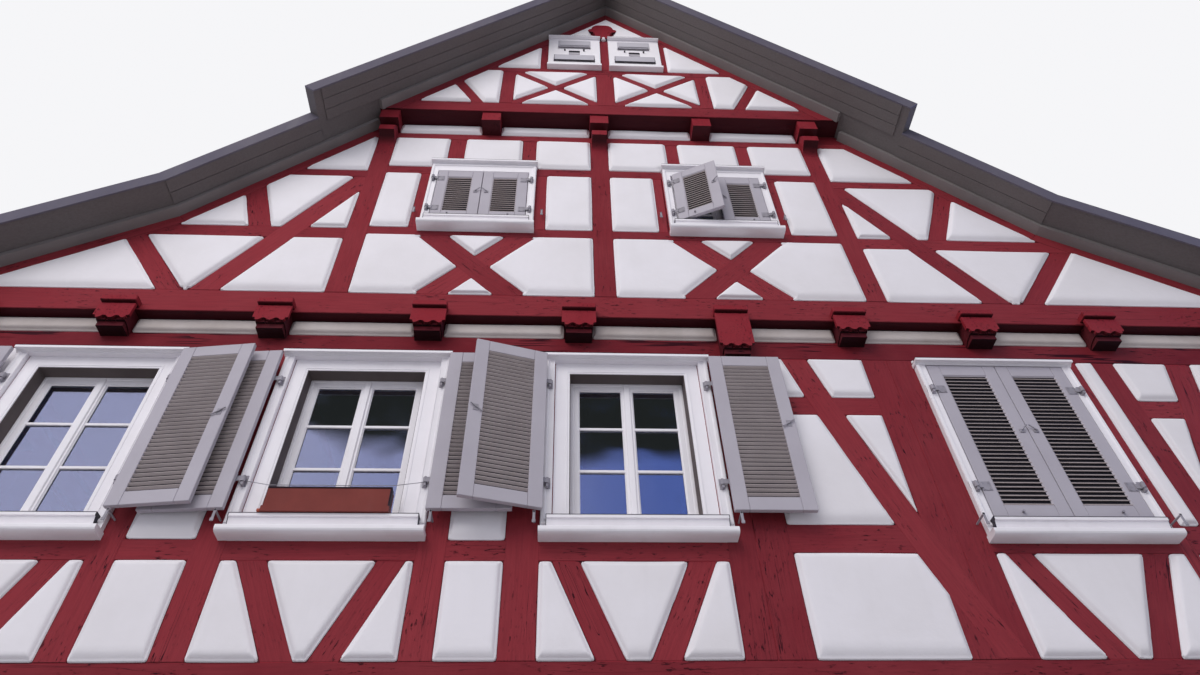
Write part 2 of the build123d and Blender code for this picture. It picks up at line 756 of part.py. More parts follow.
# Gable frames: the first jetty and, above it, the top gable
gable_right = [(HALF_WIDTH, GABLE_FOOT), (HALF_WIDTH, roof_z(HALF_WIDTH)), (KICK_X, KICK_Z)]
gable_right.append((roof_x(GABLE_PLATE[1]), GABLE_PLATE[1]))
gable_limit = outline(gable_right + mirrored(gable_right)[::-1])
top_right = [(roof_x(TOP_FOOT), TOP_FOOT), (0, APEX), (-roof_x(TOP_FOOT), TOP_FOOT)]
top_limit = outline(top_right)
rafter_right = slope_band(0, -RAFTER_BAND, EAVES_X)
rafters = [rafter_right, mirrored(rafter_right)]
inner_left = -2420.0
inner_right = 2200.0
gable_timbers = rafters + [
    box(-HALF_WIDTH, HALF_WIDTH, GABLE_FOOT, GABLE_SILL_TOP),
    box(inner_left, inner_right, *GABLE_RAIL_1),
    box(-HALF_WIDTH, inner_left, *GABLE_SIDE_RAIL_1),
    box(inner_right, HALF_WIDTH, *GABLE_SIDE_RAIL_1),
    box(inner_left, inner_right, *GABLE_RAIL_2),
    box(-HALF_WIDTH, inner_left, *GABLE_SIDE_RAIL_2),
    box(inner_right, HALF_WIDTH, *GABLE_SIDE_RAIL_2),
    box(-HALF_WIDTH, HALF_WIDTH, *GABLE_PLATE),
    upright(inner_left, 190.0, GABLE_SILL_TOP, GABLE_PLATE[0]),
    strut((2155.0, GABLE_PLATE[0]), (2209.0, GABLE_SILL_TOP), 180.0),
    upright(-148.0, 185.0, GABLE_SILL_TOP, GABLE_PLATE[0]),
]
for post_centre, post_width in ((-1915.0, 97.0), (-744.0, 98.0), (432.0, 87.0), (1604.0, 88.0)):
    gable_timbers.append(upright(post_centre, post_width, GABLE_RAIL_1[0], GABLE_RAIL_2[1]))
for post_centre, post_width in ((-1657.0, 166.0), (-893.0, 142.0), (637.0, 127.0), (1406.0, 132.0)):
    gable_timbers.append(upright(post_centre, post_width, GABLE_RAIL_2[0], GABLE_PLATE[1]))
GABLE_STRUTS = (
    ((-1725.0, GABLE_RAIL_1[0]), (-959.0, GABLE_SILL_TOP), 210.0),
    ((-910.0, GABLE_RAIL_1[0]), (-1642.0, GABLE_SILL_TOP), 210.0),
    ((613.0, GABLE_RAIL_1[0]), (1370.0, GABLE_SILL_TOP), 210.0),
    ((1418.0, GABLE_RAIL_1[0]), (642.0, GABLE_SILL_TOP), 210.0),
    ((-2495.0, GABLE_SIDE_RAIL_2[0]), (-3511.0, GABLE_SILL_TOP), 215.0),
    ((2230.0, GABLE_SIDE_RAIL_2[0]), (3284.0, GABLE_SILL_TOP), 215.0),
    ((-3536.0, rafter_z(3536.0)), (-3307.0, GABLE_SIDE_RAIL_1[1]), 190.0),
    ((-4385.0, rafter_z(4385.0)), (-3785.0, GABLE_SILL_TOP), 165.0),
    ((3398.0, rafter_z(3398.0)), (3054.0, GABLE_SIDE_RAIL_1[1]), 160.0),
    ((4273.0, rafter_z(4273.0)), (3591.0, GABLE_SILL_TOP), 155.0),
)
for strut_top, strut_foot, strut_width in GABLE_STRUTS:
    gable_timbers.append(strut(strut_top, strut_foot, strut_width))
for window in GABLE_WINDOWS:
    gable_timbers += window_trimmers(window)
gable_holes = [window_hole(window) for window in GABLE_WINDOWS]
gable_covers = [window_cover(window) for window in GABLE_WINDOWS]
gable_lattice = timber_sketch(gable_limit, gable_timbers, gable_holes)

top_head = roof_z(TOP_LIGHTS[0] - TOP_LIGHT_HALF) - LIGHT_CLEAR
light_holes = [upright(centre, 2 * TOP_LIGHT_HALF, TOP_RAIL[1], top_head) for centre in TOP_LIGHTS]
cell_left = -1109.0
cell_right = 1006.0
king_left = -160.0
king_right = 40.0
top_timbers = rafters + [
    box(-HALF_WIDTH, HALF_WIDTH, TOP_FOOT, TOP_SILL_TOP),
    box(-HALF_WIDTH, HALF_WIDTH, *TOP_RAIL),
    box(cell_left - 144.0, cell_left, TOP_SILL_TOP, TOP_RAIL[0]),
    box(king_left, king_right, TOP_SILL_TOP, TOP_RAIL[0]),
    box(cell_right, cell_right + 140.0, TOP_SILL_TOP, TOP_RAIL[0]),
    strut((-1773.0, rafter_z(1773.0)), (-1490.0, TOP_SILL_TOP), 110.0),
    strut((1708.0, rafter_z(1708.0)), (1439.0, TOP_SILL_TOP), 110.0),
    upright(TOP_LIGHTS[0] - TOP_LIGHT_HALF - 42.0, 84.0, TOP_RAIL[0], top_head),
    box(TOP_LIGHTS[0] + TOP_LIGHT_HALF, TOP_LIGHTS[1] - TOP_LIGHT_HALF, TOP_RAIL[0], top_head),
    upright(TOP_LIGHTS[1] + TOP_LIGHT_HALF + 33.0, 66.0, TOP_RAIL[0], top_head),
    box(king_left, king_right, top_head, top_head + KING_NECK),
    box(king_left - KING_EAR, king_right + KING_EAR, top_head + KING_HEAD[0], top_head + KING_HEAD[1]),
]
for cell in ((cell_left, king_left), (king_right, cell_right)):
    top_timbers.append(strut((cell[0], TOP_RAIL[0]), (cell[1], TOP_SILL_TOP), 100.0, 0.0))
    top_timbers.append(strut((cell[1], TOP_RAIL[0]), (cell[0], TOP_SILL_TOP), 100.0, 0.0))
top_lattice = timber_sketch(top_limit, top_timbers, light_holes)

with BuildPart() as gable_frame:
    for plane, lattice in ((GABLE_WALL, gable_lattice), (TOP_WALL, top_lattice)):
        with BuildSketch(plane.offset(-TIMBER)):
            add(lattice)
        extrude(amount=TIMBER)
save_pair(gable_frame.part, "gable_frame")

upper_gaps = []
for left_beam, right_beam in zip(UPPER_BEAMS, UPPER_BEAMS[1:]):
    left_edge = left_beam + UPPER_BEAM_WIDE / 2
    right_edge = right_beam - UPPER_BEAM_WIDE / 2
    upper_gaps.append(outline(box(left_edge, right_edge, GABLE_PLATE[1], TOP_FOOT)))
with BuildPart() as gable_infill:
    add(plaster(GABLE_WALL, panel_sketch(gable_limit, gable_lattice, gable_covers) + upper_gaps))
    add(plaster(TOP_WALL, panel_sketch(top_limit, top_lattice, light_holes)))
save_pair(gable_infill.part, "gable_infill")

# Beams that run from front to back and carry the jetties on their ends
head_top = GABLE_FOOT + HEAD_RISE
jetty_face = FRONT - GABLE_JETTY
body_face = FRONT - HEAD_OUT + HEAD_PLATE
with BuildPart() as lower_beams:
    for beam_centre in LOWER_BEAMS:
        foot = PLATE_TOP - LONG_HEADS.get(beam_centre, 0.0)
        with BuildSketch(Plane.YZ.offset(beam_centre)):
            with BuildLine():
                Polyline(
                    (FRONT, foot - HEAD_DROP),
                    (FRONT, PLATE_TOP),
                    (0, PLATE_TOP),
                    (0, GABLE_FOOT),
                    (jetty_face, GABLE_FOOT),
                    (jetty_face, head_top),
                    (body_face, head_top),
                    (body_face, foot),
                )
                RadiusArc((body_face, foot), (FRONT, foot - HEAD_DROP), HEAD_HOLLOW)
            make_face()
        extrude(amount=BEAM_WIDE / 2, both=True)
        with BuildSketch(FRONT_WALL.offset(HEAD_OUT - HEAD_PLATE)):
            Polygon(*upright(beam_centre, HEAD_WIDE, foot, head_top), align=None)
        extrude(amount=HEAD_PLATE)
        with BuildSketch(GABLE_WALL):
            Polygon(*upright(beam_centre, HEAD_WIDE, head_top, head_top + CAP_TALL), align=None)
        extrude(amount=CAP_OUT - GABLE_JETTY)
    mirror(about=Plane.XZ)
save(lower_beams.part, "lower_beams")

upper_reach = WALL_DEPTH / 2 + TOP_JETTY - UPPER_SET_IN
with BuildPart() as upper_beams:
    for beam_centre in UPPER_BEAMS:
        with Locations((beam_centre, 0, (GABLE_PLATE[1] + TOP_FOOT) / 2)):
            Box(UPPER_BEAM_WIDE, 2 * upper_reach, TOP_FOOT - GABLE_PLATE[1])
save(upper_beams.part, "upper_beams")

console_foot = GABLE_PLATE[1] - CONSOLE_DROP
nose_face = jetty_face - CONSOLE_OUT
with BuildPart() as consoles:
    for beam_centre in UPPER_BEAMS[::2]:
        with BuildSketch(Plane.YZ.offset(beam_centre)):
            with BuildLine():
                Polyline(
                    (jetty_face, console_foot),
                    (jetty_face, GABLE_PLATE[1]),
                    (jetty_face - CONSOLE_TOP_OUT, GABLE_PLATE[1]),
                    (nose_face, GABLE_PLATE[1] - CONSOLE_NOSE[0]),
                    (nose_face, GABLE_PLATE[1] - CONSOLE_NOSE[1]),
                )
                RadiusArc((nose_face, GABLE_PLATE[1] - CONSOLE_NOSE[1]), (jetty_face, console_foot), CONSOLE_OUT)
            make_face()
        extrude(amount=CONSOLE_WIDE / 2, both=True)
save_both(consoles.part, "beam_consoles")

# Floors inside the timber storeys
floor_x = HALF_WIDTH - TIMBER
with BuildPart() as first_floor:
    with Locations((0, 0, GROUND_TOP + FIRST_FLOOR_THICK / 2)):
        Box(2 * floor_x, 2 * side_half, FIRST_FLOOR_THICK)
save(first_floor.part, "first_floor")
with BuildPart() as attic_floor:
    with Locations((0, 0, GABLE_FOOT + DECK / 2)):
        Box(2 * floor_x, 2 * eaves_half, DECK)
save(attic_floor.part, "attic_floor")
loft_x = roof_x(TOP_FOOT + DECK) - FLOOR_CLEAR
loft_half = WALL_DEPTH / 2 + TOP_JETTY - TIMBER
with BuildPart() as loft_floor:
    with Locations((0, 0, TOP_FOOT + DECK / 2)):
        Box(2 * loft_x, 2 * loft_half, DECK)
save(loft_floor.part, "loft_floor")

# Roof: each side is one boarded slope, and its upper part stands out further over the gable
low_reach = WALL_DEPTH / 2 + LOW_VERGE
high_reach = WALL_DEPTH / 2 + HIGH_VERGE
half_section = slope_band(ROOF_THICK, 0, EAVES_X)
ridge_cut = (0, APEX)
upper_section = main_band(ROOF_THICK, 0, 0, VERGE_STEP)
upper_section = [(0, APEX + ROOF_THICK / math.cos(math.radians(MAIN_PITCH)))] + upper_section[1:3] + [ridge_cut]
with BuildPart() as roof_right:
    with BuildSketch(Plane.XZ.offset(-low_reach)):
        Polygon(*half_section, align=None)
    extrude(amount=2 * low_reach)
    with BuildSketch(Plane.XZ.offset(-high_reach)):
        Polygon(*upper_section, align=None)
    extrude(amount=2 * high_reach)
save(roof_right.part, "roof_right")
save(mirror(roof_right.part, about=Plane.YZ), "roof_left")

# Ridge cap over the joint of the two slopes
roof_lift = ROOF_THICK / math.cos(math.radians(MAIN_PITCH))
cap_foot = APEX + roof_lift - RIDGE_HALF * MAIN_RISE
with BuildPart() as ridge_cap:
    with BuildSketch(Plane.XZ.offset(-high_reach)):
        with BuildLine():
            Polyline(
                (-RIDGE_HALF, cap_foot + RIDGE_TALL / 2),
                (-RIDGE_HALF, cap_foot),
                (0, APEX + roof_lift),
                (RIDGE_HALF, cap_foot),
                (RIDGE_HALF, cap_foot + RIDGE_TALL / 2),
            )
            ThreePointArc(
                (-RIDGE_HALF, cap_foot + RIDGE_TALL / 2),
                (0, APEX + roof_lift + RIDGE_TALL),
                (RIDGE_HALF, cap_foot + RIDGE_TALL / 2),
            )
        make_face()
    extrude(amount=2 * high_reach)
save(ridge_cap.part, "ridge_cap")

# Metal edge boards on the front ends of the roof, and the fillets under it against the walls
board_low = slope_band(ROOF_THICK, -VERGE_DRIP, EAVES_X)
board_high = main_band(ROOF_THICK, -VERGE_DRIP, 0, VERGE_STEP)
drip_lift = VERGE_DRIP / math.cos(math.radians(MAIN_PITCH))
board_high = [(0, APEX + roof_lift)] + board_high[1:3] + [(0, APEX - drip_lift)]
covered = main_band(ROOF_THICK + OVERCUT, -VERGE_DRIP - OVERCUT, -HIGH_VERGE, VERGE_STEP)
with BuildPart() as verge:
    with BuildSketch(FRONT_WALL.offset(HIGH_VERGE)):
        Polygon(*board_high, align=None)
        Polygon(*mirrored(board_high)[::-1], align=None)
    extrude(amount=VERGE_BOARD)
    with BuildSketch(FRONT_WALL.offset(LOW_VERGE)):
        for flip in (False, True):
            board = mirrored(board_low)[::-1] if flip else board_low
            cover = mirrored(covered)[::-1] if flip else covered
            Polygon(*board, align=None)
            Polygon(*cover, align=None, mode=Mode.SUBTRACT)
    extrude(amount=VERGE_BOARD)
save_both(verge.part, "verge_boards")

fillet_low = slope_band(0, -FILLET_DEEP, EAVES_X)
high_length = roof_x(TOP_FOOT) / math.cos(math.radians(MAIN_PITCH))
fillet_high = main_band(0, -FILLET_DEEP, 0, high_length)
fillet_high = [(0, APEX)] + fillet_high[1:3] + [(0, APEX - FILLET_DEEP / math.cos(math.radians(MAIN_PITCH)))]
hidden = main_band(OVERCUT, -FILLET_DEEP - OVERCUT, -HIGH_VERGE, high_length + FILLET_START)
with BuildPart() as fillets:
    with BuildSketch(TOP_WALL):
        Polygon(*fillet_high, align=None)
        Polygon(*mirrored(fillet_high)[::-1], align=None)
    extrude(amount=FILLET_OUT)
    with BuildSketch(GABLE_WALL):
        for flip in (False, True):
            strip = mirrored(fillet_low)[::-1] if flip else fillet_low
            cover = mirrored(hidden)[::-1] if flip else hidden
            Polygon(*strip, align=None)
            Polygon(*cover, align=None, mode=Mode.SUBTRACT)
    extrude(amount=FILLET_OUT)
save_both(fillets.part, "soffit_fillets")

# Windows of each wall: casings, ledges, sashes and glass
front_groups = [
    (GROUND_WALL, GROUND_WINDOWS),
    (FRONT_WALL, FIRST_WINDOWS),
    (GABLE_WALL, GABLE_WINDOWS),
]
side_groups = [(GROUND_SIDE, SIDE_GROUND), (LEFT_WALL, SIDE_FIRST)]
box_window = FIRST_WINDOWS[1]
other_windows = [window for window in FIRST_WINDOWS if window != box_window]
other_groups = [front_groups[0], (FRONT_WALL, other_windows), front_groups[2]]
save(casings(other_groups), "casings_front")
save(casings([(FRONT_WALL, [box_window])]), "casing_first_b")
save(mirror(casings(front_groups), about=Plane.XZ), "casings_back")
save_sides(casings(side_groups), "casings")
with BuildPart() as window_ledges:
    add(ledges(front_groups))
    mirror(about=Plane.XZ)
    left_ledges = ledges(side_groups)
    add(left_ledges)
    add(mirror(left_ledges, about=Plane.YZ, mode=Mode.PRIVATE))
save(window_ledges.part, "window_ledges")
save_pair(sashes(front_groups), "sashes")
save_sides(sashes(side_groups), "sashes")
with BuildPart() as glass:
    add(panes(front_groups))
    mirror(about=Plane.XZ)
    left_glass = panes(side_groups)
    add(left_glass)
    add(mirror(left_glass, about=Plane.YZ, mode=Mode.PRIVATE))
save(glass.part, "window_glass")

# Boarded lights of the top gable, with a ledge under each and a thin cornice over it
light_tall = top_head - TOP_RAIL[1]
with BuildPart() as top_lights:
    with BuildSketch(TOP_WALL.offset(LIGHT_BACK)):
        for centre in TOP_LIGHTS:
            Polygon(*upright(centre, 2 * TOP_LIGHT_HALF, TOP_RAIL[1], top_head), align=None)
    extrude(amount=LIGHT_FRONT - LIGHT_BACK)
    with BuildSketch(TOP_WALL.offset(LIGHT_FRONT - LIGHT_RECESS)):
        for centre in TOP_LIGHTS:
            for half, low_share, high_share in (FLAP, SLOT, FLAP_BOX):
                low = TOP_RAIL[1] + light_tall * low_share
                high = TOP_RAIL[1] + light_tall * high_share
                Polygon(*upright(centre, 2 * half, low, high), align=None)
    extrude(amount=LIGHT_RECESS, mode=Mode.SUBTRACT)
    with BuildSketch(TOP_WALL):
        for centre in TOP_LIGHTS:
            wide = 2 * (TOP_LIGHT_HALF + LIGHT_EAR)
            Polygon(*upright(centre, wide, TOP_RAIL[1], TOP_RAIL[1] + LIGHT_LEDGE), align=None)
            Polygon(*upright(centre, wide, top_head - LIGHT_CORNICE, top_head), align=None)
    extrude(amount=LIGHT_LEDGE_OUT)
save_both(top_lights.part, "top_lights")

# Shutters of the front: window, jetty, hung side, opening angle and number of slats
LEAVES = {
    "shutter_first_a_left": (FIRST_WINDOWS[0], 0, -1, 180.0, SLATS),
    "shutter_first_a_right": (FIRST_WINDOWS[0], 0, 1, 173.4, SLATS),
    "shutter_first_b_left": (FIRST_WINDOWS[1], 0, -1, 184.0, SLATS),
    "shutter_first_b_right": (FIRST_WINDOWS[1], 0, 1, 180.0, SLATS),
    "shutter_first_c_left": (FIRST_WINDOWS[2], 0, -1, 165.0, SLATS),
    "shutter_first_c_right": (FIRST_WINDOWS[2], 0, 1, 180.0, SLATS),
    "shutter_first_d_left": (FIRST_WINDOWS[3], 0, -1, 0.0, SLATS),
    "shutter_first_d_right": (FIRST_WINDOWS[3], 0, 1, 0.0, SLATS),
    "shutter_gable_a_left": (GABLE_WINDOWS[0], GABLE_JETTY, -1, 0.0, SMALL_SLATS),
    "shutter_gable_a_right": (GABLE_WINDOWS[0], GABLE_JETTY, 1, 0.0, SMALL_SLATS),
    "shutter_gable_b_left": (GABLE_WINDOWS[1], GABLE_JETTY, -1, 24.0, SMALL_SLATS),
    "shutter_gable_b_right": (GABLE_WINDOWS[1], GABLE_JETTY, 1, 0.0, SMALL_SLATS),
}
for leaf_name, (window, wall_out, side, angle, slat_count) in LEAVES.items():
    save(shutter(window, wall_out, side, angle, slat_count), leaf_name)
save(hinge_pins([(0, FIRST_WINDOWS), (GABLE_JETTY, GABLE_WINDOWS)]), "hinge_pins")

# Flower box
box_middle = FRONT - BOX_BACK - BOX_DEEP / 2
with BuildPart() as flower_box:
    with BuildSketch(Plane.XY.offset(box_window.sill)):
        with Locations((box_window.centre, box_middle)):
            Rectangle(2 * (BOX_HALF + BASE_EDGE), BOX_DEEP + 2 * BASE_EDGE)
    extrude(amount=BASE_TALL)
    with BuildSketch(Plane.XY.offset(box_window.sill + BASE_TALL)):
        with Locations((box_window.centre, box_middle)):
            Rectangle(2 * BOX_HALF, BOX_DEEP)
    extrude(amount=BOX_TALL - BASE_TALL)
    with BuildSketch(Plane.XY.offset(box_window.sill + BOX_WALL)):
        with Locations((box_window.centre, box_middle)):
            Rectangle(2 * (BOX_HALF - BOX_WALL), BOX_DEEP - 2 * BOX_WALL)
    extrude(amount=BOX_TALL, mode=Mode.SUBTRACT)
save(flower_box.part, "flower_box")
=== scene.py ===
"""Looks of a half timbered house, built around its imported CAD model.

Sizes are in metres. The street front looks along -Y, and heights are above the ground.
A wall has coordinates of its own: along it to the right, up, and out of its face.
"""

from __future__ import annotations

import json
import logging
import math
import random
from collections.abc import Iterable
from dataclasses import dataclass
from enum import Enum

import bmesh
import bpy
from mathutils import Matrix, Vector, noise

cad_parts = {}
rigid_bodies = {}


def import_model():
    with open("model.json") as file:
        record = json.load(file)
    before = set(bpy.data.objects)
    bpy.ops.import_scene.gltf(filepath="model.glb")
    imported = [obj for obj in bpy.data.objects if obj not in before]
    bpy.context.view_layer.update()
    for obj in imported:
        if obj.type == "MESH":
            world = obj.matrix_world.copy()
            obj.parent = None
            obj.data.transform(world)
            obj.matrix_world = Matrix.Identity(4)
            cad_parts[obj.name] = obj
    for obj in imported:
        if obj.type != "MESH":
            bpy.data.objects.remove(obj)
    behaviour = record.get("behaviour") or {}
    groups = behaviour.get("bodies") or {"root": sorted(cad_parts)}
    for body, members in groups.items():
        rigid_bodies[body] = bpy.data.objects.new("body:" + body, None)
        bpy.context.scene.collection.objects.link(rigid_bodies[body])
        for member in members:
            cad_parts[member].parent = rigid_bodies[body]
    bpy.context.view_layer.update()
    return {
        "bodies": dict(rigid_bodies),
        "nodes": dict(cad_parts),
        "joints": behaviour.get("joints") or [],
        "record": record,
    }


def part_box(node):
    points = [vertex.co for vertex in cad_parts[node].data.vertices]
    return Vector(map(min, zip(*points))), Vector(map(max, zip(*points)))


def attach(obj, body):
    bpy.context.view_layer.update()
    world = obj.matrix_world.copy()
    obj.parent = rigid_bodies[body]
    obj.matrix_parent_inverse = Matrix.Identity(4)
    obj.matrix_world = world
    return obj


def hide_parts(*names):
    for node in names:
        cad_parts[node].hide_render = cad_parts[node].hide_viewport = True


LOG = logging.getLogger("house")
ROOT = "root"
# Without a seed of its own, noise_vector starts from the clock
NOISE_SEED = 5

HALF_WIDTH = 5.35
HALF_DEPTH = 4.80
GABLE_JETTY = 0.103
TOP_JETTY = 0.306
APEX = 12.56
MAIN_PITCH = math.radians(48.8)
KICK_PITCH = math.radians(34.0)
KICK_X = 4.10
EAVES_X = 5.85
ROOF_THICK = 0.13
LOW_VERGE = 0.47
HIGH_VERGE = 0.76
PLATE_TOP = 6.370
STRIP_TOP = 6.56
VERGE_STEP = 4.59

Point = tuple[float, float]
Place = tuple[float, float, float]
Colour = tuple[float, float, float]
Shape = bmesh.types.BMesh
Vertex = bmesh.types.BMVert
Socket = bpy.types.NodeSocket
Material = bpy.types.Material


class Side(Enum):
    """The four sides of the house."""

    FRONT = "front"
    BACK = "back"
    LEFT = "left"
    RIGHT = "right"

    def matrix(self) -> Matrix:
        """Matrix from a wall's own coordinates to the frame's.

        Returns:
            The matrix.
        """
        if self in (Side.FRONT, Side.BACK):
            out = -1.0 if self is Side.FRONT else 1.0
            return Matrix(((1, 0, 0, 0), (0, 0, out, out * HALF_DEPTH), (0, 1, 0, 0), (0, 0, 0, 1)))
        out = -1.0 if self is Side.LEFT else 1.0
        return Matrix(((0, 0, out, out * HALF_WIDTH), (-1, 0, 0, 0), (0, 1, 0, 0), (0, 0, 0, 1)))


def mixed(first: Colour, second: Colour, share: float) -> Colour:
    """A colour between two others."""
    return tuple(a + (b - a) * share for a, b in zip(first, second))


def from_screen(*values: int) -> Colour:
    """A linear colour from the 0 to 255 values in which a screen shows it.

    Args:
        *values: Its red, green and blue.

    Returns:
        The colour.
    """
    shares = [value / 255 for value in values]
    return tuple(share / 12.92 if share <= 0.04045 else ((share + 0.055) / 1.055) ** 2.4 for share in shares)


class Graph:
    """A node tree with short calls to add and join its nodes."""

    def __init__(self, tree: bpy.types.NodeTree) -> None:
        """Keep the tree that the nodes go into."""
        self.tree = tree

    def fill(self, node: bpy.types.Node, inputs: dict[str | int, object]) -> bpy.types.Node:
        """Give a node's inputs their values or links.

        Args:
            node: The node.
            inputs: Values or sockets by the input's name or number. A colour needs no alpha.

        Returns:
            The same node.
        """
        for name, value in inputs.items():
            socket = node.inputs[name]
            if isinstance(value, Socket):
                self.tree.links.new(value, socket)
            elif socket.type == "RGBA":
                socket.default_value = (*value[:3], 1.0)
            else:
                socket.default_value = value
        return node

    def node(
        self, kind: str, inputs: dict[str | int, object] | None = None, **settings: object
    ) -> bpy.types.Node:
        """Add a node.

        Args:
            kind: The node's type name, without its ShaderNode prefix where it has one.
            inputs: Values or sockets for its inputs, by name or number.
            **settings: Attributes of the node.

        Returns:
            The new node.
        """
        made = self.tree.nodes.new(kind if kind.startswith("Node") else f"ShaderNode{kind}")
        for name, value in settings.items():
            setattr(made, name, value)
        return self.fill(made, inputs or {})

    def mix(self, share: object, first: object, second: object) -> Socket:
        """Mix two colours or colour sockets by a share of the second."""
        inputs = {0: share, 6: first, 7: second}
        return self.node("Mix", inputs, data_type="RGBA", blend_type="MIX", clamp_factor=True).outputs[2]

    def band(self, value: Socket, low: float, high: float) -> Socket:
        """Stretch a value so that low becomes 0 and high becomes 1, and clamp it."""
        return self.node("MapRange", {0: value, 1: low, 2: high, 3: 0.0, 4: 1.0}, clamp=True).outputs[0]

    def maths(self, operation: str, first: object, second: object = 0.0) -> Socket:
        """One sum on two values."""
        return self.node("Math", {0: first, 1: second}, operation=operation).outputs[0]

    def noise(self, where: Socket, scale: float, detail: float = 4.0, rough: float = 0.55) -> Socket:
        """Noise at a place, as the texture's value socket."""
        inputs = {"Vector": where, "Scale": scale, "Detail": detail, "Roughness": rough}
        return self.node("TexNoise", inputs).outputs[0]

    def stretched(self, where: Socket, scale: Place) -> Socket:
        """A place with its three parts scaled by different amounts."""
        return self.node("Mapping", {"Vector": where, "Scale": scale}).outputs[0]

    def place(self) -> Socket:
        """The Object coordinates."""
        return self.node("TexCoord").outputs["Object"]

    def attribute(self, name: str, output: str) -> Socket:
        """An output of a mesh's own attribute."""
        return self.node("Attribute", attribute_name=name, attribute_type="GEOMETRY").outputs[output]


class Effects:
    """Shader node groups that several finishes share."""

    def __init__(self) -> None:
        """Build every group once."""
        self.patches = self._patches()
        self.grain = self._grain()
        self.soiling = self._soiling()

    @staticmethod
    def _group(name: str, inputs: dict[str, tuple[str, object]], outputs: dict[str, str]) -> tuple:
        """Start a group with its sockets.

        Args:
            name: Name of the group.
            inputs: Socket kind and default value by name.
            outputs: Socket kind by name.

        Returns:
            The group, its graph and its input node's outputs.
        """
        tree = bpy.data.node_groups.new(name, "ShaderNodeTree")
        for label, (kind, value) in inputs.items():
            socket = tree.interface.new_socket(label, in_out="INPUT", socket_type=kind)
            socket.default_value = value
        for label, kind in outputs.items():
            tree.interface.new_socket(label, in_out="OUTPUT", socket_type=kind)
        graph = Graph(tree)
        return tree, graph, graph.node("NodeGroupInput").outputs

    def _patches(self) -> bpy.types.NodeTree:
        """Slow changes of colour and gloss over a surface.

        Returns:
            The group.
        """
        tree, graph, given = self._group(
            "uneven_coat",
            {
                "Colour": ("NodeSocketColor", (0.8, 0.8, 0.8, 1)),
                "Other colour": ("NodeSocketColor", (0.6, 0.6, 0.6, 1)),
                "Scale": ("NodeSocketFloat", 1.5),
                "Strength": ("NodeSocketFloat", 0.5),
                "Roughness": ("NodeSocketFloat", 0.6),
            },
            {"Colour": "NodeSocketColor", "Roughness": "NodeSocketFloat"},
        )
        wide = graph.noise(graph.place(), given["Scale"], 5.0, 0.6)
        share = graph.maths("MULTIPLY", graph.band(wide, 0.35, 0.7), given["Strength"])
        colour = graph.mix(share, given["Colour"], given["Other colour"])
        rough = graph.maths("ADD", given["Roughness"], graph.maths("MULTIPLY", share, 0.12))
        graph.node("NodeGroupOutput", {"Colour": colour, "Roughness": rough})
        return tree

    def _grain(self) -> bpy.types.NodeTree:
        """Grain, long drying checks and small nicks of a timber that runs along one direction.

        Returns:
            The group.
        """
        tree, graph, given = self._group(
            "timber_grain",
            {
                "Place": ("NodeSocketVector", (0, 0, 0)),
                "Check width": ("NodeSocketFloat", 0.012),
                "Nicks": ("NodeSocketFloat", 1.0),
            },
            {"Grain": "NodeSocketFloat", "Hewn": "NodeSocketFloat", "Checks": "NodeSocketFloat"},
        )
        place = given["Place"]
        wobble = graph.node("TexNoise", {"Vector": place, "Scale": 1.3, "Detail": 2.0})
        bent = graph.node("VectorMath", {0: wobble.outputs[1], 1: (0.5, 0.5, 0.5)}, operation="SUBTRACT")
        shift = graph.node("VectorMath", {0: bent.outputs[0], 3: 0.05}, operation="SCALE")
        moved = graph.node("VectorMath", {0: place, 1: shift.outputs[0]}, operation="ADD").outputs[0]
        fibres = graph.noise(graph.stretched(moved, (4.0, 70.0, 70.0)), 1.0, 5.0, 0.65)
        hewn = graph.noise(graph.stretched(moved, (2.5, 9.0, 9.0)), 1.0, 3.0, 0.5)
        wide = graph.noise(graph.stretched(moved, (0.7, 16.0, 16.0)), 1.0, 2.0, 0.5)
        lines = graph.maths("ABSOLUTE", graph.maths("SUBTRACT", wide, 0.5))
        thin = graph.maths("LESS_THAN", lines, given["Check width"])
        broken = graph.band(graph.noise(graph.stretched(place, (0.9, 3.0, 3.0)), 1.0, 2.0), 0.52, 0.58)
        specks = graph.noise(graph.stretched(moved, (16.0, 60.0, 60.0)), 1.0, 3.0, 0.6)
        spots = graph.band(specks, 0.60, 0.68)
        crowded = graph.band(graph.noise(place, 1.7, 2.0), 0.44, 0.58)
        nicks = graph.maths("MULTIPLY", graph.maths("MULTIPLY", spots, crowded), given["Nicks"])
        checks = graph.maths("MAXIMUM", graph.maths("MULTIPLY", thin, broken), nicks)
        graph.node("NodeGroupOutput", {"Grain": fibres, "Hewn": hewn, "Checks": checks})
        return tree

    def _soiling(self) -> bpy.types.NodeTree:
        """Faint rain streaks that run down a surface.

        Returns:
            The group.
        """
        tree, graph, given = self._group(
            "rain_streaks",
            {
                "Colour": ("NodeSocketColor", (0.8, 0.8, 0.8, 1)),
                "Dirt": ("NodeSocketColor", (0.3, 0.29, 0.27, 1)),
                "Strength": ("NodeSocketFloat", 0.2),
            },
            {"Colour": "NodeSocketColor"},
        )
        place = graph.place()
        runs = graph.noise(graph.stretched(place, (9.0, 9.0, 0.7)), 1.0, 4.0, 0.6)
        blots = graph.noise(place, 0.8, 3.0, 0.5)
        mask = graph.maths("MULTIPLY", graph.band(runs, 0.5, 0.8), graph.band(blots, 0.35, 0.7))
        share = graph.maths("MULTIPLY", mask, given["Strength"])
        graph.node("NodeGroupOutput", {"Colour": graph.mix(share, given["Colour"], given["Dirt"])})
        return tree


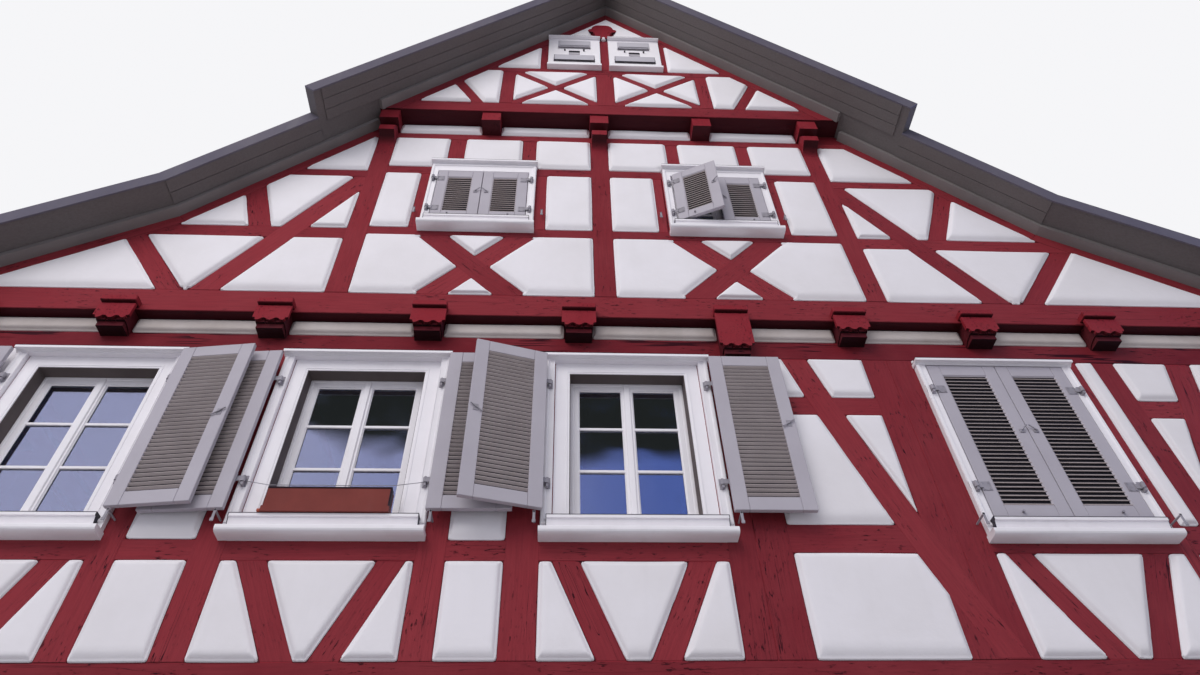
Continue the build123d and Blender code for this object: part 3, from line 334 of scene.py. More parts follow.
@dataclass(frozen=True)
class Finish:
    """What every finish has.

    Attributes:
        name: Name of the material.
        slot: The record's slot.
        colour: Main colour, linear.
    """

    name: str
    slot: str
    colour: Colour

    def build(self, effects: Effects) -> Material:
        """Make the material from the shared node groups."""
        raise NotImplementedError


@dataclass(frozen=True)
class CoatFinish(Finish):
    """A painted, rendered or plastered surface with slow changes of tone.

    Attributes:
        other: Colour of its patches, linear.
        roughness: Main roughness.
        patch_scale: How fine the patches are.
        patch_strength: How much the patches show.
        dirt: How much the rain streaks show.
        bump: Height of the fine bumps in metres.
        bump_scale: How fine the bumps are.
    """

    other: Colour
    roughness: float = 0.6
    patch_scale: float = 1.5
    patch_strength: float = 0.5
    dirt: float = 0.1
    bump: float = 0.0008
    bump_scale: float = 60.0

    def build(self, effects: Effects) -> Material:
        """Make the material.

        Args:
            effects: The shared node groups.

        Returns:
            The material.
        """
        graph, shader, material = new_material(self.name)
        inputs = {
            "Colour": self.colour,
            "Other colour": self.other,
            "Scale": self.patch_scale,
            "Strength": self.patch_strength,
            "Roughness": self.roughness,
        }
        coat = graph.node("Group", inputs, node_tree=effects.patches).outputs
        inputs = {"Colour": coat["Colour"], "Strength": self.dirt}
        soiled = graph.node("Group", inputs, node_tree=effects.soiling).outputs["Colour"]
        height = graph.noise(graph.place(), self.bump_scale, 4.0, 0.6)
        bump = graph.node("Bump", {"Height": height, "Distance": self.bump, "Strength": 0.7}).outputs[0]
        graph.fill(shader, {"Base Color": soiled, "Roughness": coat["Roughness"], "Normal": bump})
        return material


class Run(Enum):
    """The direction that a timber's grain follows, as a tilt and a spin, or its own as kept in its mesh."""

    ALONG_X = (0.0, 0.0)
    ALONG_Y = (0.0, 90.0)
    UPRIGHT = (90.0, 0.0)
    OWN = (0.0, 180.0)


@dataclass(frozen=True)
class WoodFinish(Finish):
    """Painted or bare wood with its grain, drying checks and nicks.

    Attributes:
        dark: Colour in the grain and the checks, linear.
        run: Direction of the grain.
        roughness: Main roughness.
        checks: How wide the drying checks are, as a share of the grain's waves.
        nicks: How much the small nicks show.
        grain: How much the grain changes the colour.
        bump: Height of the grain in metres.
        worn: How much the coat is faded in patches.
        underside_shade: How much darker its undersides are.
    """

    dark: Colour
    run: Run = Run.UPRIGHT
    roughness: float = 0.55
    checks: float = 0.004
    nicks: float = 1.0
    grain: float = 0.3
    bump: float = 0.0012
    worn: float = 0.35
    # Painted shade: the share by which faces that point down are darkened.
    underside_shade: float = 0.9

    def build(self, effects: Effects) -> Material:
        """Make the material.

        Args:
            effects: The shared node groups.

        Returns:
            The material.
        """
        graph, shader, material = new_material(self.name)
        turned = graph.place()
        colour: object = self.colour
        width: object = self.checks
        if self.run is Run.OWN:
            turned = graph.attribute(TIMBER_PLACE, "Vector")
            tone = graph.attribute(TIMBER_TONE, "Fac")
            faded = mixed(self.colour, (0.5, 0.2, 0.2), 0.07)
            colour = graph.mix(tone, mixed(self.colour, self.dark, 0.55), faded)
            limits = {0: tone, 1: 0.0, 2: 0.25, 3: 0.034, 4: self.checks}
            width = graph.node("MapRange", limits, clamp=True).outputs[0]
        elif self.run is not Run.ALONG_X:
            tilt, spin = self.run.value
            rotation = (0.0, math.radians(tilt), math.radians(spin))
            turned = graph.node("Mapping", {"Vector": turned, "Rotation": rotation}).outputs[0]
        inputs = {"Place": turned, "Check width": width, "Nicks": self.nicks}
        wood = graph.node("Group", inputs, node_tree=effects.grain).outputs
        inputs = {
            "Colour": colour,
            "Other colour": mixed(self.colour, (0.45, 0.30, 0.30), 0.10),
            "Scale": 2.6,
            "Strength": self.worn,
            "Roughness": self.roughness,
        }
        coat = graph.node("Group", inputs, node_tree=effects.patches).outputs
        share = graph.maths("MULTIPLY", graph.band(wood["Grain"], 0.4, 0.75), self.grain)
        toned = graph.mix(share, coat["Colour"], self.dark)
        checked = graph.mix(wood["Checks"], toned, mixed(self.dark, (0, 0, 0), 0.5))
        # Painted shade: faces that point down are mixed towards a darker red.
        facing = graph.node("SeparateXYZ", {0: graph.node("NewGeometry").outputs["Normal"]}).outputs["Z"]
        under = graph.maths("MULTIPLY", graph.band(facing, -0.35, -0.9), self.underside_shade)
        checked = graph.mix(under, checked, mixed(self.dark, (0, 0, 0), 0.6))
        fine = graph.maths("SUBTRACT", wood["Grain"], graph.maths("MULTIPLY", wood["Checks"], 2.5))
        height = graph.maths("ADD", fine, graph.maths("MULTIPLY", wood["Hewn"], 3.0))
        bump = graph.node("Bump", {"Height": height, "Distance": self.bump, "Strength": 0.8}).outputs[0]
        graph.fill(shader, {"Base Color": checked, "Roughness": coat["Roughness"], "Normal": bump})
        shader.inputs["Specular IOR Level"].default_value = 0.2
        return material


@dataclass(frozen=True)
class GlassFinish(Finish):
    """Window glass, slightly uneven, that mirrors the sky.

    Attributes:
        mirror: Refractive index that sets how strongly it mirrors.
    """

    mirror: float = 3.4

    def build(self, effects: Effects) -> Material:
        """Make the material.

        Args:
            effects: The shared node groups.

        Returns:
            The material.
        """
        graph, shader, material = new_material(self.name)
        wave = graph.noise(graph.place(), 2.5, 1.0, 0.4)
        bump = graph.node("Bump", {"Height": wave, "Distance": 0.01, "Strength": 0.15}).outputs[0]
        inputs = {"Base Color": self.colour, "Roughness": 0.02, "Transmission Weight": 1.0, "Normal": bump}
        graph.fill(shader, {**inputs, "IOR": self.mirror})
        return material


@dataclass(frozen=True)
class TileFinish(Finish):
    """Fired clay tiles, each with a tone of its own and some lichen.

    Attributes:
        middle: Tone between the first and the last one, linear.
        last: The last tone, linear.
        lichen: Colour of the growth, linear.
    """

    middle: Colour
    last: Colour
    lichen: Colour

    def build(self, effects: Effects) -> Material:
        """Make the material.

        Args:
            effects: The shared node groups.

        Returns:
            The material.
        """
        graph, shader, material = new_material(self.name)
        tone = graph.attribute(TILE_TONE, "Fac")
        lower = graph.mix(graph.band(tone, 0.0, 0.5), self.colour, self.middle)
        picked = graph.mix(graph.band(tone, 0.5, 1.0), lower, self.last)
        place = graph.place()
        blots = graph.band(graph.noise(place, 14.0, 6.0, 0.7), 0.58, 0.72)
        growth = graph.maths("MULTIPLY", blots, graph.band(graph.noise(place, 0.7, 2.0), 0.4, 0.65))
        grown = graph.mix(graph.maths("MULTIPLY", growth, 0.6), picked, self.lichen)
        soiled = graph.node("Group", {"Colour": grown, "Strength": 0.25}, node_tree=effects.soiling)
        fine = graph.noise(place, 45.0, 5.0, 0.65)
        bump = graph.node("Bump", {"Height": fine, "Distance": 0.002, "Strength": 0.7}).outputs[0]
        graph.fill(shader, {"Base Color": soiled.outputs["Colour"], "Normal": bump, "Roughness": 0.8})
        return material


def new_material(name: str) -> tuple[Graph, bpy.types.Node, Material]:
    """Start a material.

    Args:
        name: Its name.

    Returns:
        Its graph, its Principled shader and the material.
    """
    material = bpy.data.materials.new(name)
    material.use_nodes = True
    graph = Graph(material.node_tree)
    return graph, material.node_tree.nodes["Principled BSDF"], material


TILE_TONE = "tile_tone"
TIMBER_PLACE = "timber_place"
TIMBER_TONE = "timber_tone"
RED = from_screen(146, 37, 47)
DEEP_RED = from_screen(84, 20, 28)

TIMBER_OWN = WoodFinish("red_timber", "red_timber", RED, DEEP_RED, Run.OWN)
TIMBER_ACROSS = WoodFinish("red_timber_across", "red_timber", RED, DEEP_RED, Run.ALONG_X)
TIMBER_UPRIGHT = WoodFinish("red_timber_upright", "red_timber", RED, DEEP_RED)
TIMBER_DEEP = WoodFinish("red_timber_beams", "red_timber", RED, DEEP_RED, Run.ALONG_Y)


def wood(name: str, slot: str, colour: Colour, dark: Colour, *sizes: object, **named: float) -> WoodFinish:
    """A wood finish from the two colours that a screen shows."""
    return WoodFinish(name, slot, from_screen(*colour), from_screen(*dark), *sizes, **named)


def coat(name: str, slot: str, colour: Colour, other: Colour, *sizes: float) -> CoatFinish:
    """A coat finish from the two colours that a screen shows."""
    return CoatFinish(name, slot, from_screen(*colour), from_screen(*other), *sizes)


TIMBER_SHADED = wood("red_timber_shaded", "red_timber", (92, 24, 31), (50, 12, 17), Run.ALONG_X)
PLASTER = coat(
    "white_plaster", "white_plaster", (240, 236, 240), (219, 214, 214),
    0.85, 1.1, 0.45, 0.06, 0.0022, 14
)
PLASTER_SHADED = coat(
    "plaster_shaded", "white_plaster", (204, 194, 190), (178, 166, 160),
    0.85, 2.4, 0.8, 0.2, 0.0022, 20
)
RENDER = coat("ground_render", "render", (226, 222, 214), (206, 200, 190), 0.9, 0.8, 0.6, 0.2, 0.002, 30)
STONE = coat("plinth_stone", "plinth_stone", (150, 138, 124), (116, 104, 94), 0.85, 3.0, 0.8, 0.3, 0.004, 22)
BOARDS = wood("floor_boards", "floor_boards", (160, 128, 92), (104, 76, 50), Run.ALONG_Y, worn=0.2)
CASING_PAINT = coat(
    "casing_paint", "window_paint", (247, 243, 246), (236, 230, 232),
    0.45, 2.5, 0.4, 0.12, 0.0006, 24
)
SHUTTER_PAINT = coat(
    "shutter_paint", "shutter_paint", (187, 181, 188), (172, 165, 173),
    0.5, 2.0, 0.5, 0.08, 0.0004, 50
)
LOUVRE_PAINT = coat(
    "louvre_paint", "shutter_paint", (194, 181, 178), (172, 159, 156),
    0.55, 4.0, 0.6, 0.05, 0.0004, 50
)
PLAIN_WOOD = {"checks": 0.0, "nicks": 0.0, "underside_shade": 0.0}
SOFFIT_PAINT = wood("soffit_paint", "soffit_paint", (112, 106, 104), (72, 66, 66), Run.ALONG_X, **PLAIN_WOOD)
FILLET_PAINT = coat("fillet_paint", "soffit_paint", (138, 131, 128), (116, 110, 108), 0.6, 2.0, 0.5, 0.1)
# Painted shade: the recess before the sash is lined in a dark taupe for the shade in it.
REVEAL_SHADE = coat("reveal_shade", "window_paint", (104, 93, 88), (84, 74, 70), 0.7, 3.0, 0.5, 0.1)
# Painted shade: a dark sheet behind the slats stands for the dark room seen through them.
SLAT_SHADE = coat("dark_slat_shade", "shutter_paint", (40, 36, 38), (28, 26, 28), 0.8)
LIGHT_GREY = coat("light_grey", "window_paint", (196, 192, 198), (178, 174, 180), 0.6)
SHEET_METAL = coat(
    "verge_sheet", "verge_metal", (104, 98, 108), (82, 78, 92),
    0.42, 1.2, 0.6, 0.3, 0.0005, 8
)
IRON = coat("grey_iron", "iron", (168, 163, 170), (128, 122, 126), 0.4, 9.0, 0.7, 0.1, 0.0005, 80)
CLAY_BASE = coat("planter_base", "planter_clay", (176, 84, 58), (150, 66, 46), 0.5)
CLAY_RIM = coat("planter_rim", "planter_clay", (46, 24, 24), (34, 18, 18), 0.5)
CLAY_BOX = coat("planter_clay", "planter_clay", (132, 56, 42), (110, 44, 34), 0.5, 5.0, 0.5, 0.1, 0.0004, 60)
DOOR_PAINT = wood("door_paint", "door_wood", (108, 34, 40), (60, 18, 24), Run.UPRIGHT)
# Partly sheet metal and partly painted shade: dark strips in gaps, slots and under cornices.
DARK_SHEET_AND_SHADE = coat("dark_sheet_and_shade", "window_paint", (52, 46, 48), (34, 30, 32), 0.5)
PANE = GlassFinish("window_pane", "glass", (0.80, 0.88, 0.97))
TILE_COLOURS = ((96, 58, 48), (132, 74, 56), (112, 78, 66), (128, 124, 104))
TILES = TileFinish("roof_tiles", "roof_tile", *(from_screen(*tone) for tone in TILE_COLOURS))


class Palette:
    """Every finish of the house as a material, made once."""

    def __init__(self) -> None:
        """Build the shared effects."""
        self.effects = Effects()
        self.made: dict[str, Material] = {}

    def get(self, finish: Finish) -> Material:
        """The material of a finish.

        Args:
            finish: The finish.

        Returns:
            Its material, made at the first call.
        """
        if finish.name not in self.made:
            self.made[finish.name] = finish.build(self.effects)
        return self.made[finish.name]

    def dress_node(self, frame: dict, name: str, finish: Finish) -> None:
        """Give a CAD node a finish.

        Args:
            name: The node.
            finish: Its finish.
        """
        data = frame["nodes"][name].data
        data.materials.clear()
        data.materials.append(self.get(finish))


@dataclass
class Workshop:
    """What every builder needs: the frame and the palette.

    Attributes:
        palette: The materials.
    """

    frame: dict
    palette: Palette

    def deliver(
        self,
        shape: Shape,
        name: str,
        finish: Finish,
        body: str = ROOT,
        matrix: Matrix | None = None,
        smooth: bool = False,
        replaces: tuple[str, ...] = (),
    ) -> bpy.types.Object:
        """Turn a finished bmesh into a piece that rides on a body.

        Args:
            shape: The shape, which is freed.
            name: Name of the piece.
            finish: Its finish.
            body: CAD body that it rides on.
            matrix: Where its coordinates are in the frame.
            smooth: Whether its faces are shaded smooth.
            replaces: CAD nodes that it stands for.

        Returns:
            The new object.
        """
        if matrix is not None:
            shape.transform(matrix)
            if matrix.determinant() < 0:
                bmesh.ops.reverse_faces(shape, faces=shape.faces)
        for face in shape.faces:
            face.smooth = smooth
        data = bpy.data.meshes.new(name)
        shape.to_mesh(data)
        shape.free()
        data.materials.append(self.palette.get(finish))
        piece = bpy.data.objects.new(name, data)
        bpy.context.scene.collection.objects.link(piece)
        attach(piece, body)
        if replaces:
            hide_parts(*replaces)
        LOG.info("%s: %d faces", name, len(data.polygons))
        return piece


def unique(items: Iterable) -> list:
    """The items in their own order, each once, so that every run gives the same meshes."""
    return list(dict.fromkeys(items))


def add_block(shape: Shape, low: Place, high: Place, edge: float = 0.0) -> list[Vertex]:
    """Add a block with bevelled edges.

    Args:
        shape: Bmesh that it is added to.
        low: Its lowest corner.
        high: Its highest corner.
        edge: Width of the bevel.

    Returns:
        Its vertices.
    """
    made = bmesh.ops.create_cube(shape, size=1.0)["verts"]
    size = Vector(high) - Vector(low)
    middle = (Vector(high) + Vector(low)) / 2
    bmesh.ops.scale(shape, vec=size, verts=made)
    bmesh.ops.translate(shape, vec=middle, verts=made)
    if edge <= 0.0:
        return made
    edges = unique(side for vertex in made for side in vertex.link_edges)
    result = bmesh.ops.bevel(
        shape, geom=edges, offset=edge, segments=1, profile=0.5, affect="EDGES", material=-1
    )
    kept = [vertex for vertex in made if vertex.is_valid]
    return unique([*kept, *result["verts"]])


def add_rod(shape: Shape, start: Vector, end: Vector, radius: float, sides: int = 8) -> None:
    """Add a round rod between two points.

    Args:
        shape: Bmesh that it is added to.
        start: Middle of one end.
        end: Middle of the other end.
        radius: Its radius.
        sides: Number of its sides.
    """
    run = end - start
    turn = run.to_track_quat("Z", "Y").to_matrix().to_4x4()
    place = Matrix.Translation((start + end) / 2) @ turn
    sizes = {"segments": sides, "radius1": radius, "radius2": radius, "depth": run.length}
    bmesh.ops.create_cone(shape, cap_ends=True, matrix=place, **sizes)


def add_moulding(
    shape: Shape, corners: tuple[float, float, float, float], base: float, steps: tuple[Point, ...]
) -> None:
    """Add a mitred moulding round a rectangle, from its outer edge inwards.

    Args:
        shape: Bmesh that it is added to.
        corners: Left, right, bottom and top of the outer edge.
        base: Depth at which it starts.
        steps: For each step of the profile, how far it goes in and how far out.
    """
    left, right, low, high = corners
    points = ((left, low), (right, low), (right, high), (left, high))
    face = shape.faces.new([shape.verts.new((x, y, base)) for x, y in points])
    for inwards, outwards in steps:
        if inwards == 0.0:
            made = bmesh.ops.extrude_face_region(shape, geom=[face])["geom"]
            moved = [item for item in made if isinstance(item, Vertex)]
            bmesh.ops.delete(shape, geom=[face], context="FACES_ONLY")
            face = next(item for item in made if isinstance(item, bmesh.types.BMFace))
            bmesh.ops.translate(shape, vec=(0, 0, outwards), verts=moved)
        else:
            ways = {"thickness": inwards, "depth": outwards, "use_even_offset": True, "use_boundary": True}
            bmesh.ops.inset_region(shape, faces=[face], **ways)
    bmesh.ops.delete(shape, geom=[face], context="FACES_ONLY")


def add_profile(shape: Shape, profile: tuple[Point, ...], run: Point, start: Point) -> None:
    """Add a board whose section is the same all along a wall.

    Args:
        shape: Bmesh that it is added to, in a wall's own coordinates.
        profile: Corners of the section as pairs of depth and height.
        run: Its two ends along the wall.
        start: Depth and height of the section's origin.
    """
    corners = [shape.verts.new((run[0], start[1] + tall, start[0] + deep)) for deep, tall in profile]
    face = shape.faces.new(corners)
    made = bmesh.ops.extrude_face_region(shape, geom=[face], use_keep_orig=True)["geom"]
    moved = [item for item in made if isinstance(item, Vertex)]
    bmesh.ops.translate(shape, vec=(run[1] - run[0], 0, 0), verts=moved)
    faces = unique(other for vertex in [*corners, *moved] for other in vertex.link_faces)
    bmesh.ops.recalc_face_normals(shape, faces=faces)


def add_board(shape: Shape, outline: list[Point], back: float, thick: float) -> None:
    """Add a flat board that is cut to an outline.

    Args:
        shape: Bmesh that it is added to, in a wall's own coordinates.
        outline: Its corners.
        back: Depth of its back.
        thick: How thick it is.
    """
    corners = [shape.verts.new((x, y, back)) for x, y in outline]
    made = bmesh.ops.extrude_face_region(shape, geom=[shape.faces.new(corners)], use_keep_orig=True)["geom"]
    moved = [item for item in made if isinstance(item, Vertex)]
    bmesh.ops.translate(shape, vec=(0, 0, thick), verts=moved)
    faces = unique(other for vertex in [*corners, *moved] for other in vertex.link_faces)
    bmesh.ops.recalc_face_normals(shape, faces=faces)


def gather(part: Shape, whole: Shape, matrix: Matrix) -> None:
    """Move a part into the frame's coordinates, add it to a whole and free it.

    Args:
        part: Shape in coordinates of its own.
        whole: Bmesh that it is added to.
        matrix: Where the part's coordinates are in the frame.
    """
    part.transform(matrix)
    if matrix.determinant() < 0:
        bmesh.ops.reverse_faces(part, faces=part.faces)
    passing = bpy.data.meshes.new("passing")
    part.to_mesh(passing)
    part.free()
    whole.from_mesh(passing)
    bpy.data.meshes.remove(passing)


def round_steps(radius: float, count: int) -> tuple[Point, ...]:
    """Steps of a quarter round, as pairs of in and out.

    Args:
        radius: Its radius.
        count: Number of its steps.

    Returns:
        The steps.
    """
    angles = [math.pi / 2 * number / count for number in range(count + 1)]
    points = [(radius * (1 - math.cos(angle)), radius * math.sin(angle)) for angle in angles]
    return tuple((after[0] - before[0], after[1] - before[1]) for before, after in zip(points, points[1:]))


def islands(shape: Shape) -> list[list[Vertex]]:
    """The vertices of each loose part of a bmesh.

    Args:
        shape: The bmesh.

    Returns:
        One list for each part.
    """
    seen: set[Vertex] = set()
    found = []
    for start in shape.verts:
        if start in seen:
            continue
        seen.add(start)
        group = [start]
        for vertex in group:
            for edge in vertex.link_edges:
                other = edge.other_vert(vertex)
                if other not in seen:
                    seen.add(other)
                    group.append(other)
        found.append(group)
    return found


def merged_copy(node: bpy.types.Object, matrix: Matrix | None = None) -> Shape:
    """A CAD node's mesh with its loose triangles joined, in a wall's own coordinates if asked.

    Args:
        node: The CAD node.
        matrix: The wall's matrix, or None for the frame's coordinates.

    Returns:
        A new bmesh.
    """
    shape = bmesh.new()
    shape.from_mesh(node.data)
    bmesh.ops.remove_doubles(shape, verts=shape.verts, dist=0.0001)
    if matrix is not None:
        shape.transform(matrix.inverted())
        if matrix.determinant() < 0:
            bmesh.ops.reverse_faces(shape, faces=shape.faces)
    shape.normal_update()
    return shape


@dataclass(frozen=True)
class Window:
    """A window's casing in its wall's own coordinates.

    Attributes:
        centre: Its middle along the wall.
        half: Half the width of its casing.
        sill: Bottom of its opening.
        head: Top of its casing.
        out: How far its wall stands out past the first floor's.
    """

    centre: float
    half: float
    sill: float
    head: float
    out: float

    @property
    def small(self) -> bool:
        """Whether it is one of the low gable windows."""
        return self.half < 0.6

    @property
    def clear_half(self) -> float:
        """Half the width of the opening inside the inner frame."""
        return self.half - 0.190

    @property
    def clear_low(self) -> float:
        """Bottom of the opening inside the inner frame."""
        return self.sill + 0.055

    @property
    def clear_high(self) -> float:
        """Top of the opening inside the inner frame."""
        return self.head - (0.230 if self.small else 0.110)


def find_windows(frame: dict, side: Side) -> list[Window]:
    """The windows of a side, read from its CAD casings.

    Args:
        side: Side of the house.

    Returns:
        Its windows.
    """
    names = [f"casings_{side.value}"]
    if side is Side.FRONT:
        names.append("casing_first_b")
    windows = []
    for name in names:
        shape = merged_copy(frame["nodes"][name], side.matrix())
        for group in islands(shape):
            across = [vertex.co.x for vertex in group]
            heights = [vertex.co.y for vertex in group]
            front = max(vertex.co.z for vertex in group)
            centre = (min(across) + max(across)) / 2
            half = (max(across) - min(across)) / 2
            sill = min(heights) + TRAY_TALL
            windows.append(Window(centre, half, sill, max(heights), front - CASING_FRONT))
        shape.free()
    return sorted(windows, key=lambda window: (window.sill, window.centre))


LEDGE_EAR = 0.010
SILL_BOARD = 0.050
TRAY_TALL = 0.100
TRAY_OUT = 0.100
TRAY_SET_IN = 0.037
CORNICE = 0.040
CORNICE_OUT = 0.095
CASING_FRONT = 0.044
CASING_BOARD = 0.074
INNER_FRONT = 0.005


class WindowTrim:
    """Mouldings, reveal linings and glazing bars of the windows of one side."""

    def __init__(self, shop: Workshop, side: Side) -> None:
        """Read the side's windows.

        Args:
            shop: The frame and the palette.
            side: Side of the house.
        """
        self.shop = shop
        self.side = side
        self.windows = find_windows(shop.frame, side)

    def build(self) -> None:
        """Build all the trim."""
        self.casing_mouldings()
        self.reveals()
        self.glazing_bars()

    def reveals(self) -> None:
        """Dark linings at the head and the sides of the recess before the sash, painted shade of the recess.
        """
        shape = bmesh.new()
        for window in self.windows:
            left, right = window.centre - window.clear_half, window.centre + window.clear_half
            low, high = window.clear_low, window.clear_high
            back, front = window.out - 0.1145, window.out - 0.002
            add_block(shape, (left, high - 0.004, back), (right, high - 0.0005, front))
            add_block(shape, (left + 0.0005, low, back), (left + 0.004, high - 0.004, front))
            add_block(shape, (right - 0.004, low, back), (right - 0.0005, high - 0.004, front))
        self.deliver(shape, "window_reveals", REVEAL_SHADE)

    def casing_mouldings(self) -> None:
        """Rounded lips and coves that step in towards the sash."""
        shape = bmesh.new()
        for window in self.windows:
            left, right = window.centre - window.half, window.centre + window.half
            over = window.head - 0.003 if window.small else window.head + 0.036
            outer = (left + 0.003, right - 0.003, window.sill - 0.045, over)
            lip = ((0.0, 0.004), *round_steps(0.006, 3), (0.016, 0.0), (0.005, -0.006), (0.006, -0.004))
            add_moulding(shape, outer, window.out + CASING_FRONT - 0.001, lip)
            step = CASING_BOARD - 0.007
            over = window.head - 0.113 if window.small else window.head + 0.036
            inner = (left + step, right - step, window.sill - 0.045, over)
            steps = ((0.0, 0.004), (0.004, 0.0), (0.003, -0.004))
            add_moulding(shape, inner, window.out + CASING_FRONT - 0.001, steps)
            over = window.head - (0.134 if window.small else 0.014)
            fillet = (left + 0.094, right - 0.094, window.clear_low - 0.046, over)
            steps = ((0.002, 0.0045), (0.026, 0.0), (0.004, -0.003), (0.012, 0.0), (0.002, -0.002))
            add_moulding(shape, fillet, window.out + INNER_FRONT - 0.0005, steps)
            half = window.clear_half + 0.028
            bead = (
                window.centre - half,
                window.centre + half,
                window.clear_low - 0.028,
                window.clear_high + 0.028,
            )
            steps = ((0.0, 0.003), (0.002, 0.002), (0.010, 0.0), (0.003, -0.003), (0.006, -0.002))
            add_moulding(shape, bead, window.out + INNER_FRONT - 0.001, steps)
        self.deliver(shape, "casing_mouldings", CASING_PAINT)

    def glazing_bars(self) -> None:
        """Sash beads, the middle post's lap and two thin bars to each window."""
        shape = bmesh.new()
        for window in self.windows:
            glass_back, glass_front = window.out - 0.140, window.out - 0.134
            bars = ((glass_back - 0.012, glass_back), (glass_front, glass_front + 0.014))
            reach = window.clear_half - 0.004
            low, high = window.clear_low, window.clear_high
            board = 0.065
            face = window.out - 0.115
            rim = (window.centre - reach, window.centre + reach, low, high)
            steps = ((0.006, 0.0), (0.0, 0.006), (0.004, 0.004), (0.018, 0.0), (0.006, -0.006))
            add_moulding(shape, rim, face - 0.002, steps)
            for hand in (-1, 1):
                near = window.centre + hand * 0.040
                far = window.centre + hand * (reach - board)
                left, right = min(near, far), max(near, far)
                pane = (left - 0.004, right + 0.004, low + board - 0.004, high - board + 0.004)
                steps = ((0.0, 0.003), (0.006, -0.004), (0.008, -0.008))
                add_moulding(shape, pane, window.out - 0.119, steps)
                rows = 2 if not window.small else 1
                for row in range(rows):
                    middle = low + board + (high - low - 2 * board) * (row + 1) / (rows + 1)
                    for back, front in bars:
                        corners = (left, middle - 0.013, back), (right, middle + 0.013, front)
                        add_block(shape, *corners, 0.004)
            add_block(
                shape,
                (window.centre - 0.024, low + 0.004, face - 0.004),
                (window.centre + 0.024, high - 0.004, face + 0.012),
                0.005,
            )
        self.deliver(shape, "glazing_bars", CASING_PAINT)

    def deliver(self, shape: Shape, name: str, finish: Finish) -> None:
        """Hand in a finished shape of this side."""
        self.shop.deliver(shape, f"{name}_{self.side.value}", finish, matrix=self.side.matrix())


class Ledges:
    """Sills with their drip trays, and cornices, of every window of the house."""

    board = (
        (0.0, 0.0), (0.080, 0.0), (0.104, 0.003), (0.115, 0.010), (0.120, 0.021),
        (0.120, 0.043), (0.117, 0.048), (0.111, 0.050), (0.0, 0.050),
    )
    tray = ((0.044, 0.0), (0.070, 0.0), (0.087, 0.070), (0.098, 0.074), (0.098, 0.096), (0.044, 0.096))
    hood = (
        (0.0, 0.0), (0.050, 0.0), (0.056, 0.009), (0.070, 0.015), (0.084, 0.017),
        (0.084, 0.012), (0.094, 0.012), (0.095, 0.016), (0.095, 0.034), (0.0, 0.034),
    )

    def __init__(self, shop: Workshop) -> None:
        """Keep the workshop."""
        self.shop = shop

    def build(self) -> None:
        """Build the painted boards and the dark edges of all four sides, which stand partly for sheet metal
        and partly for painted shade in the gaps.
        """
        paint, dark = bmesh.new(), bmesh.new()
        for side in Side:
            painted, edges = bmesh.new(), bmesh.new()
            for window in find_windows(self.shop.frame, side):
                self.one_window(window, painted, edges)
            gather(painted, paint, side.matrix())
            gather(edges, dark, side.matrix())
        self.shop.deliver(paint, "window_ledge_boards", CASING_PAINT, replaces=("window_ledges",))
        self.shop.deliver(dark, "window_ledge_edges", DARK_SHEET_AND_SHADE)

    def one_window(self, window: Window, paint: Shape, dark: Shape) -> None:
        """The boards and edges of one window.

        Args:
            window: The window.
            paint: Bmesh that the painted boards go into.
            dark: Bmesh that the dark edges go into, partly sheet metal and partly painted shade.
        """
        wide = window.half + LEDGE_EAR
        narrow = window.half - TRAY_SET_IN
        middle = window.centre
        foot = window.sill - TRAY_TALL
        out = window.out
        add_profile(paint, self.board, (middle - wide, middle + wide), (out, foot - SILL_BOARD))
        add_profile(paint, self.tray, (middle - narrow + 0.004, middle + narrow - 0.004), (out, foot))
        add_profile(paint, self.hood, (middle - wide, middle + wide), (out, window.head))
        # Dark strips on top of the tray, at its ends and under the cornice: partly sheet metal, partly
        # painted shade in the gaps.
        add_block(
            dark,
            (middle - narrow, window.sill - 0.0045, out + CASING_FRONT),
            (middle + narrow, window.sill, out + TRAY_OUT),
            0.001,
        )
        for edge, inner in ((middle - narrow, 0.004), (middle + narrow, -0.004)):
            ends = (min(edge, edge + inner), max(edge, edge + inner))
            cheek = tuple((deep + (0.002 if deep > 0.05 else 0.0), tall) for deep, tall in self.tray)
            add_profile(dark, cheek, ends, (out, foot))
        top = window.head + CORNICE
        add_block(
            dark, (middle - wide, top - 0.006, out + 0.004), (middle + wide, top, out + CORNICE_OUT), 0.001
        )


FIRST_LOW, FIRST_HIGH = 3.6615, 6.1685
GABLE_LOW, GABLE_HIGH = 6.7915, 9.3895
TOP_LOW, TOP_MIDDLE = 9.8755, 10.6635
LIGHT_LOW, LIGHT_HIGH = 10.7775, 11.632


def rail(
    left: float, right: float, low: float, high: float, lift: float = 0.002, tone: float | None = None
) -> Timber:
    """A level timber.

    Args:
        left: Its left end.
        right: Its right end.
        low: Its lower edge.
        high: Its upper edge.
        lift: How far its face stands out.
        tone: How light it is, or None for a tone of its own.

    Returns:
        The timber.
    """
    middle = (low + high) / 2
    return Timber(((left, middle), (right, middle)), high - low, lift, ((0.0, 1.0), (0.0, 1.0)), tone)


def strut(start: Point, end: Point, width: float, lift: float = 0.001) -> Timber:
    """An upright or leaning timber whose ends are cut level.

    Args:
        start: Middle of one end.
        end: Middle of the other end.
        width: Its width.
        lift: How far its face stands out.

    Returns:
        The timber.
    """
    return Timber((start, end), width, lift)


